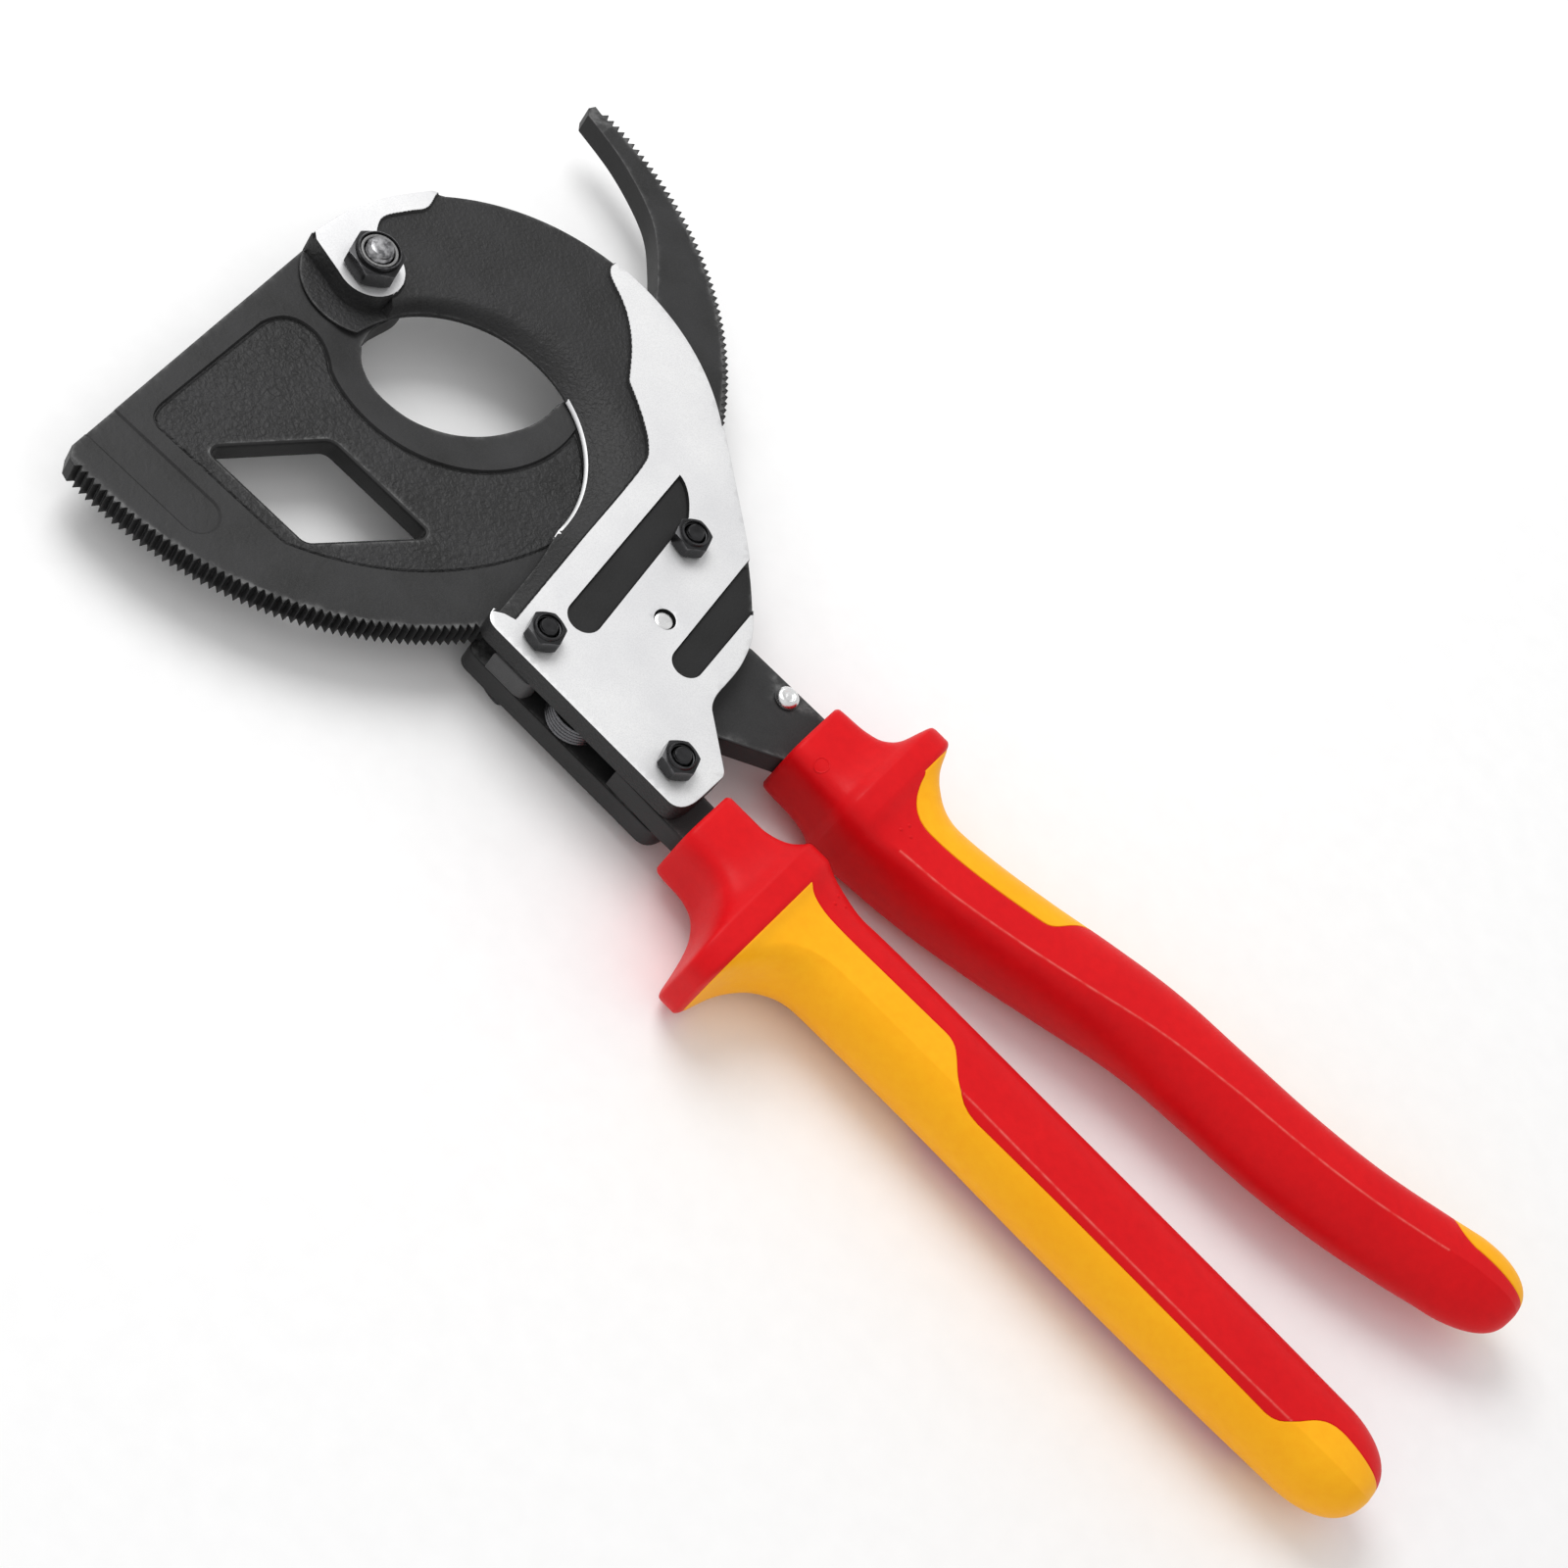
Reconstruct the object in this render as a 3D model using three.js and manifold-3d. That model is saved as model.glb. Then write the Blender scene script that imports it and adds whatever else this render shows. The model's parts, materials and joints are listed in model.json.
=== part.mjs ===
// Ratcheting cable cutter with two insulated handles, lying on its back with the front face up.
// Millimetres, +Z up. X runs from the jaw to the handle ends.
// Everything is laid out around the blade pivot, with z = 0 on the front face of the blade. The
// finished group is then moved so that its origin is the middle of its footprint.
import * as THREE from 'three';
import { mergeVertices } from 'three/addons/utils/BufferGeometryUtils.js';
import Module from 'manifold-3d';

// ---- driving dimensions ----
const GAP = 0.3;                       // between neighbouring pieces
const BLADE_THICKNESS = 5.6;
const FRONT_PLATE_THICKNESS = 5.2;
const REAR_PLATE_THICKNESS = 5.4;
const TOOTH_TIP_RADIUS = 80;           // from the blade pivot
const TOOTH_DEPTH = 1.3;
const TOOTH_STEP = 1.2;                // degrees from tooth to tooth
const TOOTH_FIRST = -92.4;             // degrees, at the blade's lower left corner
const TOOTH_COUNT = 152;
const HUB_RADIUS = 13.3;               // rounded end of the fixed jaw, about the blade pivot
const FIXED_EDGE = { x: 36, y: -12, r: 28 };      // cutting arc of the fixed jaw
const JAW_BACK = { x: 37, y: -2.8, r: 50.2 };     // outer arc of the fixed jaw
const LEVER_AXLE = { x: 91.7, y: -10.6, r: 2 };
const BOLT_PLACES = [[78.7, -35.2], [83.2, 7], [114.2, -34.4]];
const PAWL_BOLT = BOLT_PLACES[0];
const BOLT_BODY_RADIUS = 3;
const BOLT_THREAD_RADIUS = 1.95;
const PIVOT_RADIUS = 3.95;
const PIVOT_THREAD_RADIUS = 2.95;
const SPRING_AXIS = [93.4, -35.6];
const SPRING_RADIUS = 5.9;             // to the middle of the wire
const SPRING_WIRE_RADIUS = 0.4;
const RIVET_PLACE = [119, 1];
const INLAY_DEPTH = 2.2;               // of the yellow part of a grip
const SHAPE_POWER = 2.5;               // roundness of the hand grip's section, 2 is an ellipse
const COLLAR_POWER = 4;                // the collar and guard are squarer

// ---- layers, from the blade's front face ----
const BLADE_BACK = -BLADE_THICKNESS;
const MIDDLE = BLADE_BACK / 2;
const PLATE_FRONT = GAP + FRONT_PLATE_THICKNESS;
const REAR_FRONT = BLADE_BACK - GAP;
const REAR_BACK = REAR_FRONT - REAR_PLATE_THICKNESS;
const NUT_SEAT = PLATE_FRONT + GAP;

const wasm = await Module();
wasm.setup();

// ---- solids ----
const degrees = THREE.MathUtils.degToRad;

function solidOf(geometry) {
  const bare = geometry.clone();
  bare.deleteAttribute('normal');
  bare.deleteAttribute('uv');
  const merged = mergeVertices(bare, 1e-4);
  return new wasm.Manifold(new wasm.Mesh({
    numProp: 3,
    vertProperties: new Float32Array(merged.attributes.position.array),
    triVerts: new Uint32Array(merged.index.array),
  }));
}

function geometryOf(solid) {
  const mesh = solid.getMesh();
  const geometry = new THREE.BufferGeometry();
  geometry.setAttribute('position', new THREE.BufferAttribute(new Float32Array(mesh.vertProperties), 3));
  geometry.setIndex(new THREE.BufferAttribute(new Uint32Array(mesh.triVerts), 1));
  return geometry;
}

function extrude(shape, low, high, curveSegments = 8) {
  const geometry = new THREE.ExtrudeGeometry(shape, { depth: high - low, bevelEnabled: false, curveSegments });
  return solidOf(geometry.translate(0, 0, low));
}

function shapeOf(points) {
  return new THREE.Shape(points.map(([x, y]) => new THREE.Vector2(x, y)));
}

function vectors(points) {
  return points.map(([x, y]) => new THREE.Vector2(x, y));
}

// round hole, with the same number of sides as the round pieces
function circle([x, y], radius) {
  const whole = new THREE.Path().absarc(x, y, radius, 0, 2 * Math.PI, false);
  return new THREE.Path(whole.getSpacedPoints(24));
}

function disc([x, y], radius, low, high, sides = 24) {
  const geometry = new THREE.CylinderGeometry(radius, radius, high - low, sides);
  return solidOf(geometry.rotateX(Math.PI / 2).translate(x, y, (low + high) / 2));
}

function hexPrism([x, y], acrossFlats, low, high) {
  return disc([x, y], acrossFlats / Math.sqrt(3), low, high, 6);
}

// turned part: profile is a list of [radius, z], closed on the axis
function turned([x, y], profile, sides = 24) {
  const geometry = new THREE.LatheGeometry(vectors(profile), sides);
  return solidOf(geometry.rotateX(Math.PI / 2).translate(x, y, 0));
}

// everything above a sloping plane that passes through (0, 0, height)
function above(height, slopeX, slopeY) {
  const size = 400;
  const normal = new THREE.Vector3(-slopeX, -slopeY, 1).normalize();
  const turn = new THREE.Quaternion().setFromUnitVectors(new THREE.Vector3(0, 0, 1), normal);
  const box = new THREE.BoxGeometry(size, size, size).translate(0, 0, size / 2);
  return solidOf(box.applyQuaternion(turn).translate(0, 0, height));
}

// round-ended bar that narrows from one circle to another
function taper([x0, y0], r0, [x1, y1], r1) {
  const heading = Math.atan2(y1 - y0, x1 - x0);
  const lean = Math.acos((r0 - r1) / Math.hypot(x1 - x0, y1 - y0));
  const shape = new THREE.Shape();
  shape.absarc(x0, y0, r0, heading + lean, heading - lean + 2 * Math.PI, false);
  shape.absarc(x1, y1, r1, heading - lean, heading + lean, false);
  return shape;
}

// flat strip along a list of [x, y, half width]
function strip(line, grow = 0) {
  const upper = line.map(([x, y, half]) => [x, y + half + grow]);
  const lower = line.map(([x, y, half]) => [x, y - half - grow]);
  return { upper, lower };
}

// ---- frame outline at the handle end, shared by both plates ----
function frameEnd(shape) {
  shape.lineTo(118.8, -41.5);
  shape.quadraticCurveTo(122.2, -41, 122.2, -34);
  shape.quadraticCurveTo(122.2, -27.6, 119, -24.8);
  shape.lineTo(111.2, -18.3);
  shape.quadraticCurveTo(109.4, -16.5, 109.3, -12);
  shape.splineThru(vectors([[108.2, -4.4], [104.4, 3.9], [93.9, 15.5], [80, 27.4], [70, 35.6]]));
}

function frontPlate() {
  const plate = new THREE.Shape();
  plate.absarc(0, 0, HUB_RADIUS, degrees(199.8), degrees(307), false);
  plate.absarc(FIXED_EDGE.x, FIXED_EDGE.y, FIXED_EDGE.r, degrees(177.1), degrees(4), true);
  plate.splineThru(vectors([[66.5, -20], [68.2, -30], [69.3, -37.2]]));
  plate.lineTo(68.4, -38.3);
  plate.quadraticCurveTo(68.8, -41.5, 72, -41.5);
  frameEnd(plate);
  plate.absarc(JAW_BACK.x, JAW_BACK.y, JAW_BACK.r, degrees(49.3), degrees(143), false);
  plate.lineTo(-5.5, 25.4);
  plate.splineThru(vectors([[-9.6, 16], [-12, 6], [-12.5, -4.5]]));
  for (const place of BOLT_PLACES) plate.holes.push(circle(place, BOLT_THREAD_RADIUS + GAP));
  plate.holes.push(circle([LEVER_AXLE.x, LEVER_AXLE.y], LEVER_AXLE.r + GAP));
  plate.holes.push(circle([0, 0], PIVOT_RADIUS + GAP));
  const body = extrude(plate, GAP, PLATE_FRONT, 8);
  return body.subtract(jawRelief()).subtract(recessPockets());
}

// the dark jaw is lower than the bright flat of the plate and slopes down to its cutting edge
function jawRelief() {
  const zone = new THREE.Shape();
  zone.moveTo(29.3, 60);
  zone.lineTo(29.3, 45.2);
  zone.splineThru(vectors([[31, 43.2], [38, 39.8], [44.5, 34.3], [50.3, 26.6]]));
  zone.splineThru(vectors([[57, 22.8], [63.2, 17.9], [65.8, 12], [69, -10]]));
  zone.lineTo(73, -36.6);
  zone.lineTo(68.2, -38.4);
  zone.lineTo(60, -44);
  zone.lineTo(-20, -30);
  zone.lineTo(-20, -2.84);
  zone.lineTo(-3, -6.6);
  zone.absarc(0, 0, 7.2, degrees(-110), degrees(125), false);
  zone.splineThru(vectors([[-6.9, 11], [-5, 17], [-3.3, 21.2], [-4.4, 25.3]]));
  zone.lineTo(-10, 60);
  const column = extrude(zone, -1, 10, 6);
  const edgeCone = new THREE.CylinderGeometry(28 + 2.28 * 8, 28, 8, 48).rotateX(Math.PI / 2);
  const bevel = solidOf(edgeCone.translate(FIXED_EDGE.x, FIXED_EDGE.y, 0.9 + 4));
  const neckSlope = above(-42, 0.66, 0).subtract(above(-8, 0, -1.6));
  return column.intersect(above(1.9, 0.048, 0.032).add(above(4.8, 0, 0)).add(bevel).add(neckSlope));
}

// two shallow blackened fields on the bright flat
function recessPockets() {
  const depth = 0.8;
  const long = new THREE.Shape();
  long.absarc(81.1, -24.2, 3.7, degrees(187), degrees(367), false);
  long.lineTo(79.4, 12);
  long.quadraticCurveTo(75.4, 17.8, 71.6, 18.3);
  const short = new THREE.Shape();
  short.absarc(101.1, -14.4, 3.4, degrees(187), degrees(367), false);
  short.lineTo(101.8, 9.5);
  short.lineTo(93.4, 17.5);
  return extrude(long, PLATE_FRONT - depth, 8).add(extrude(short, PLATE_FRONT - depth, 8));
}

function rearPlate() {
  const plate = new THREE.Shape();
  plate.moveTo(69, -38.6);
  plate.quadraticCurveTo(69, -41.5, 72, -41.5);
  frameEnd(plate);
  plate.absarc(JAW_BACK.x, JAW_BACK.y, JAW_BACK.r, degrees(49.3), degrees(70), false);
  plate.splineThru(vectors([[56, 28], [61, 8], [64, -10], [67, -28], [69, -38.6]]));
  for (const place of BOLT_PLACES) plate.holes.push(circle(place, BOLT_BODY_RADIUS + GAP));
  plate.holes.push(circle([LEVER_AXLE.x, LEVER_AXLE.y], LEVER_AXLE.r + GAP));
  return extrude(plate, REAR_BACK, REAR_FRONT, 6);
}

// ---- blade ----
function blade() {
  const outline = new THREE.Shape();
  outline.moveTo(-12.4, -3);
  outline.lineTo(-6.7, -77);
  outline.lineTo(-5, -79.4);
  for (let tooth = 0; tooth < TOOTH_COUNT; tooth += 1) {
    const tip = degrees(TOOTH_FIRST + tooth * TOOTH_STEP);
    const root = tip + degrees(0.55 * TOOTH_STEP);
    const inner = TOOTH_TIP_RADIUS - TOOTH_DEPTH;
    outline.lineTo(TOOTH_TIP_RADIUS * Math.cos(tip), TOOTH_TIP_RADIUS * Math.sin(tip));
    outline.lineTo(inner * Math.cos(root), inner * Math.sin(root));
  }
  outline.lineTo(-1.6, 79.1);
  outline.lineTo(-2.2, 77.4);
  outline.lineTo(-1, 75.7);
  outline.splineThru(vectors([[10, 73.6], [20, 70], [27, 66], [33, 60], [38, 54]]));
  outline.splineThru(vectors([[42, 46.5], [45.4, 36], [46.3, 26], [43.9, 14]]));
  outline.splineThru(vectors([[44.2, 8], [43, 2], [40, -5], [35, -11.2], [28, -15.5], [20, -16.6], [14, -14.7],
    [10.3, -11]]));
  outline.splineThru(vectors([[9, -6], [9.6, 2.5], [7, 7.8], [1, 10.4], [-5.5, 9.2], [-10.7, 3.6], [-12.4, -3]]));
  outline.holes.push(circle([0, 0], PIVOT_RADIUS + GAP));
  const window = new THREE.Path(vectors([[22.2, -33], [47.6, -32.2], [48, -34], [34.8, -54.4], [10.2, -55.3],
    [9.6, -53.6]]));
  outline.holes.push(window);
  return extrude(outline, BLADE_BACK, 0, 4).subtract(bladeRecess());
}

// sunken panel on the blade's front face, bounded by the cutting rim, and a small blank field under it
function bladeRecess() {
  const depth = 0.4;
  const panel = new THREE.Shape();
  panel.moveTo(-5.3, -25);
  panel.quadraticCurveTo(-4.5, -17, 3, -17);
  panel.quadraticCurveTo(7, -17.4, 11, -21);
  panel.absarc(22.2, 5.3, 28.7, degrees(-108), degrees(4), false);
  panel.quadraticCurveTo(66, -6, 62.5, -27);
  panel.absarc(0, 0, 67, degrees(-24), degrees(-61), true);
  panel.lineTo(0, -60.4);
  panel.quadraticCurveTo(-3.3, -60, -3.6, -55);
  const field = new THREE.Shape();
  field.moveTo(-12, -73.4);
  field.lineTo(-12, -64.4);
  field.lineTo(18, -63);
  field.absarc(18, -67.6, 4.6, degrees(90), degrees(-80), true);
  return extrude(panel, -depth, 1).add(extrude(field, -depth, 1));
}

// ---- pawls, one on the frame and one on the moving handle, held just clear of the tooth tips ----
function holdingPawl() {
  const nose = [78, -26.4];
  const arm = extrude(taper(PAWL_BOLT, 4.9, nose, 1.4), BLADE_BACK, 0);
  const tip = extrude(shapeOf([[79, -25], [76.5, -24.6], [76.9, -28], [78, -29]]), BLADE_BACK, 0);
  const thumb = new THREE.Shape();
  thumb.moveTo(74.4, -38);
  thumb.lineTo(74.4, -41.8);
  thumb.lineTo(82, -41.8);
  thumb.quadraticCurveTo(84.4, -41.6, 84.6, -38.6);
  thumb.lineTo(82, -35);
  return arm.add(tip).add(extrude(thumb, BLADE_BACK, 0))
    .subtract(disc(PAWL_BOLT, BOLT_BODY_RADIUS + GAP, -10, 10));
}

const DRIVE_PAWL_HEEL = [84.9, -8.2];
const DRIVE_PAWL_NOSE = [80.2, -17.2];

function drivePawl() {
  const arm = extrude(taper(DRIVE_PAWL_HEEL, 2.4, DRIVE_PAWL_NOSE, 1.4), BLADE_BACK, 0);
  const tip = extrude(shapeOf([[80.4, -14.6], [78.7, -17.4], [78.9, -19], [81, -18.6]]), BLADE_BACK, 0);
  return arm.add(tip);
}

// ---- handle bars ----
const MOVING_TANG = [[127, -3, 7.6], [131, -2.6, 6.2], [150, -3.1, 5], [180, 0.2, 4.6], [215, 5.8, 4.2],
  [250, 9, 3.8], [271, 12, 3]];
const FIXED_TANG = [[122, -36, 5.6], [150, -36, 5], [200, -35.8, 4.4], [262, -35.6, 3.4]];

function movingBar() {
  const { upper, lower } = strip(MOVING_TANG);
  const bar = new THREE.Shape();
  bar.absarc(LEVER_AXLE.x, LEVER_AXLE.y, 8.4, degrees(75), degrees(285), false);
  bar.lineTo(112, -18.6);
  bar.lineTo(115.6, -17.8);
  for (const [x, y] of lower) bar.lineTo(x, y);
  for (const [x, y] of upper.reverse()) bar.lineTo(x, y);
  bar.lineTo(107, 4.1);
  bar.lineTo(99, 1.4);
  bar.holes.push(circle([LEVER_AXLE.x, LEVER_AXLE.y], LEVER_AXLE.r + GAP));
  bar.holes.push(circle(RIVET_PLACE, 1.9));
  let body = extrude(bar, BLADE_BACK, 0);
  for (const swing of [0, 4, 8, 12]) {
    const room = taper([0, 0], 2.4 + GAP, offset(DRIVE_PAWL_HEEL, DRIVE_PAWL_NOSE), 2.1);
    const slot = new THREE.ExtrudeGeometry(room, { depth: 20, bevelEnabled: false, curveSegments: 10 });
    slot.rotateZ(degrees(swing)).translate(DRIVE_PAWL_HEEL[0], DRIVE_PAWL_HEEL[1], -10);
    body = body.subtract(solidOf(slot));
  }
  return body;
}

function offset(from, to) {
  return [to[0] - from[0], to[1] - from[1]];
}

function fixedBar() {
  const { upper, lower } = strip(FIXED_TANG);
  const bar = new THREE.Shape();
  bar.moveTo(107, -41.2);
  for (const [x, y] of lower) bar.lineTo(x, y);
  for (const [x, y] of upper.reverse()) bar.lineTo(x, y);
  bar.quadraticCurveTo(121, -25.8, 114, -25.4);
  bar.lineTo(109, -26.4);
  bar.quadraticCurveTo(106.4, -33, 107, -41.2);
  bar.holes.push(circle(BOLT_PLACES[2], BOLT_BODY_RADIUS + GAP));
  return extrude(bar, BLADE_BACK, 0);
}

// ---- handle spring: a coil around its post, one leg on the fixed bar and one under the moving bar ----
class SpringPath extends THREE.Curve {
  getPoint(t) {
    const turns = 4.75;
    const legShare = 0.1;
    const [barLeg, leverLeg] = [13, 16.2];
    const coil = THREE.MathUtils.clamp((t - legShare) / (1 - 2 * legShare), 0, 1);
    const angle = degrees(90) + coil * turns * 2 * Math.PI;
    const height = THREE.MathUtils.lerp(BLADE_BACK + 0.55, -0.55, coil);
    const point = new THREE.Vector3(SPRING_AXIS[0] + SPRING_RADIUS * Math.cos(angle),
      SPRING_AXIS[1] + SPRING_RADIUS * Math.sin(angle), height);
    const along = new THREE.Vector3(-Math.sin(angle), Math.cos(angle), 0);
    if (t < legShare) point.addScaledVector(along, -barLeg * (1 - t / legShare));
    if (t > 1 - legShare) point.addScaledVector(along, leverLeg * (t - 1 + legShare) / legShare);
    return point;
  }
}

function handleSpring() {
  const wire = new THREE.Shape().absarc(0, 0, SPRING_WIRE_RADIUS, 0, 2 * Math.PI, false);
  return solidOf(new THREE.ExtrudeGeometry(wire, { steps: 88, extrudePath: new SpringPath(), curveSegments: 3 }));
}

// ---- grips: stations of [x, lower edge, upper edge, half thickness, squareness] ----
const FIXED_GRIP = [
  [125.4, -44.3, -29.2, 8.4, COLLAR_POWER], [126.3, -44.8, -28.8, 9, COLLAR_POWER],
  [134, -45.6, -28.8, 9.1, COLLAR_POWER], [138, -48, -28, 9.6, COLLAR_POWER],
  [140.6, -52.6, -26.6, 10.4, COLLAR_POWER], [142.2, -59, -25, 11.4, COLLAR_POWER],
  [143.2, -63.6, -23.8, 12, COLLAR_POWER], [147.6, -64.6, -23.6, 12.1, COLLAR_POWER],
  [148.8, -63, -23.9, 11.8, COLLAR_POWER], [150.4, -57, -24.6, 10.8, 3.4],
  [153.4, -51.8, -25, 10.1, 3], [158, -48.4, -25, 9.7, SHAPE_POWER], [165, -46.9, -24.7, 9.5, SHAPE_POWER],
  [190, -46.7, -24.5, 9.5, SHAPE_POWER], [230, -47.1, -24.5, 9.6, SHAPE_POWER],
  [270, -46.9, -24.6, 9.5, SHAPE_POWER], [292, -46.4, -24.9, 9.3, SHAPE_POWER],
  [300, -44.8, -26, 8.6, SHAPE_POWER], [304.6, -41.8, -28.6, 6.8, SHAPE_POWER], [307.2, -37.8, -32.4, 3.4, 2],
];
const MOVING_GRIP = [
  [127.4, -11.1, 5.6, 8.4, COLLAR_POWER], [128.3, -11.7, 6.1, 9, COLLAR_POWER],
  [135, -12, 6.8, 9.1, COLLAR_POWER], [139, -12.4, 8.4, 9.6, COLLAR_POWER],
  [141.2, -13, 11.4, 10.4, COLLAR_POWER], [142.4, -13.6, 15.6, 11.4, COLLAR_POWER],
  [143.4, -14, 18.2, 12, COLLAR_POWER], [147.6, -14.2, 18.6, 12.1, COLLAR_POWER],
  [148.8, -14.2, 17, 11.8, COLLAR_POWER], [150.6, -14, 12.6, 10.8, 3.4],
  [154, -13.8, 9.4, 10.1, 3], [160, -13.4, 7.9, 9.7, SHAPE_POWER], [170, -12.4, 8.8, 9.5, SHAPE_POWER],
  [185, -9.6, 11.6, 9.5, SHAPE_POWER], [200, -6.2, 15.1, 9.5, SHAPE_POWER], [215, -3.2, 17.7, 9.5, SHAPE_POWER],
  [235, -1.9, 18.7, 9.5, SHAPE_POWER], [252, -0.9, 19.7, 9.5, SHAPE_POWER], [270, 2, 22.2, 9.5, SHAPE_POWER],
  [285, 5.8, 26, 9.4, SHAPE_POWER], [296, 9.2, 29, 9, SHAPE_POWER], [303, 12.6, 29.8, 8.1, SHAPE_POWER],
  [307, 16.6, 28.2, 6.2, SHAPE_POWER], [309.2, 20.4, 25, 3.2, 2],
];
const HAND_START = 146;                // where the hand part of a grip begins, behind the guard

function loft(stations, shrink = 0, sides = 20) {
  const rings = stations.length - 1;
  const geometry = new THREE.CylinderGeometry(1, 1, rings, sides, rings);
  const place = geometry.attributes.position;
  for (let i = 0; i < place.count; i += 1) {
    const [x, low, high, half, power] = stations[Math.round(rings / 2 - place.getY(i))];
    const reach = Math.hypot(place.getX(i), place.getZ(i)) < 0.5 ? 0 : 1;
    const angle = Math.atan2(place.getZ(i), place.getX(i));
    const bend = (value) => reach * Math.sign(value) * Math.abs(value) ** (2 / power);
    const across = bend(Math.cos(angle)) * ((high - low) / 2 - shrink);
    const up = bend(Math.sin(angle)) * (half - shrink);
    place.setXYZ(i, x, (low + high) / 2 + across, MIDDLE + up);
  }
  return solidOf(geometry);
}

// the hand part alone, carried forward through the guard at one size
function handCore(stations, shrink) {
  const hand = stations.filter(([x]) => x > 156);
  const first = [HAND_START, ...hand[0].slice(1)];
  const last = hand[hand.length - 1];
  const cut = hand.filter(([x]) => x < last[0] - shrink);
  return loft([first, ...cut], shrink);
}

function bore(tang, from) {
  const line = [[from, tang[0][1], tang[0][2]], ...tang];
  const [x, y, half] = line[line.length - 1];
  line[line.length - 1] = [x + GAP, y, half];
  const { upper, lower } = strip(line, GAP);
  return extrude(shapeOf([...lower, ...upper.reverse()]), BLADE_BACK - GAP, GAP);
}

// outer side of each grip, where the yellow part lies in the red one
function fixedInlayZone(grow) {
  const zone = new THREE.Shape();
  zone.moveTo(148.4 - grow, -80);
  zone.lineTo(149 - grow, -33.2 + grow);
  zone.quadraticCurveTo(150, -34.6 + grow, 156, -34.8 + grow);
  zone.lineTo(187.5 + grow, -34.2 + grow);
  zone.bezierCurveTo(193, -34.4 + grow, 193, -43.5 + grow, 203, -43.6 + grow);
  zone.lineTo(280, -43.6 + grow);
  zone.bezierCurveTo(287, -43.4 + grow, 286, -34.8 + grow, 294 - grow, -34.6 + grow);
  zone.lineTo(320, -34.6 + grow);
  zone.lineTo(320, -80);
  return zone;
}

function movingInlayZone(grow) {
  const zone = new THREE.Shape();
  zone.moveTo(148.4 - grow, 60);
  zone.lineTo(149 - grow, 6 - grow);
  zone.quadraticCurveTo(151, -3 - grow, 158, -2.8 - grow);
  zone.quadraticCurveTo(170, -2.2 - grow, 186.5, 2 - grow);
  zone.bezierCurveTo(190, 3 - grow, 190, 9.4 - grow, 196, 12.9 - grow);
  zone.splineThru(vectors([[215, 16.2 - grow], [235, 17.2 - grow], [255, 18.6 - grow], [275, 22 - grow],
    [286, 24.8 - grow]]));
  zone.quadraticCurveTo(288, 21.6 - grow, 293, 21.4 - grow);
  zone.lineTo(320, 24.6 - grow);
  zone.lineTo(320, 60);
  return zone;
}

function gripParts(stations, tang, zone) {
  const outer = loft(stations).subtract(bore(tang, stations[0][0] - 5));
  const pocket = extrude(zone(GAP), -60, 60).subtract(handCore(stations, INLAY_DEPTH + GAP));
  const inlay = extrude(zone(0), -60, 60).subtract(handCore(stations, INLAY_DEPTH));
  return { core: outer.subtract(pocket), inlay: outer.intersect(inlay) };
}

// ---- fasteners ----
function pivotBolt() {
  const body = turned([0, 0], [[0, -10.6], [6.4, -10.6], [7.4, -9.6], [7.4, REAR_FRONT], [PIVOT_RADIUS, REAR_FRONT],
    [PIVOT_RADIUS, 5.2], [PIVOT_THREAD_RADIUS, 5.2], [PIVOT_THREAD_RADIUS, 11.8], [2.35, 12.4], [0, 12.4]]);
  return body.subtract(hexPrism([0, 0], 5, -12, -8.2));
}

function pivotNut() {
  const hexagon = hexPrism([0, 0], 10.5, NUT_SEAT, 10.1).add(disc([0, 0], 4.8, 10, 11.3));
  return hexagon.subtract(disc([0, 0], PIVOT_THREAD_RADIUS + GAP, 0, 20)).subtract(disc([0, 0], 4.3, 9.9, 20));
}

function pivotNutInsert() {
  return disc([0, 0], 4, 10.2, 11.1).subtract(disc([0, 0], PIVOT_THREAD_RADIUS + GAP, 0, 20));
}

function frameBolt(place) {
  const shank = turned(place, [[0, REAR_BACK - GAP - 1], [BOLT_BODY_RADIUS, REAR_BACK - GAP - 1],
    [BOLT_BODY_RADIUS, 0], [BOLT_THREAD_RADIUS, 0], [BOLT_THREAD_RADIUS, 9.8], [1.55, 10.2], [0, 10.2]]);
  return shank.add(hexPrism(place, 8, REAR_BACK - GAP - 3.5, REAR_BACK - GAP));
}

function frameNut(place) {
  const body = hexPrism(place, 7.1, NUT_SEAT, 9.2).add(disc(place, 3.1, 9.1, 9.9));
  return body.subtract(disc(place, BOLT_THREAD_RADIUS + GAP, 0, 20));
}

function barRivet() {
  return turned(RIVET_PLACE, [[0, -7], [2, -6.8], [2.5, REAR_FRONT], [1.6, REAR_FRONT], [1.6, GAP], [2.6, GAP],
    [2.3, 1.1], [1.3, 1.6], [0, 1.7]], 16);
}

// ---- materials ----
const finish = (color, roughness, metalness) => new THREE.MeshStandardMaterial({ color, roughness, metalness });
const blackSteel = finish(0x3b3b3c, 0.55, 0.7);
const groundSteel = finish(0xdadada, 0.35, 0.9);
const fastenerSteel = finish(0x1e1e20, 0.4, 0.8);
const springSteel = finish(0x55555a, 0.3, 0.9);
const rivetSteel = finish(0xe6e6e6, 0.2, 1);
const redPlastic = finish(0xd81418, 0.5, 0);
const yellowPlastic = finish(0xf6a30c, 0.55, 0);
const nylon = finish(0x8a8a88, 0.6, 0);

// ---- assembly ----
const cutter = new THREE.Group();

function put(name, solid, material) {
  const mesh = new THREE.Mesh(geometryOf(solid), material.clone());
  mesh.name = name;
  cutter.add(mesh);
}

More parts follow.
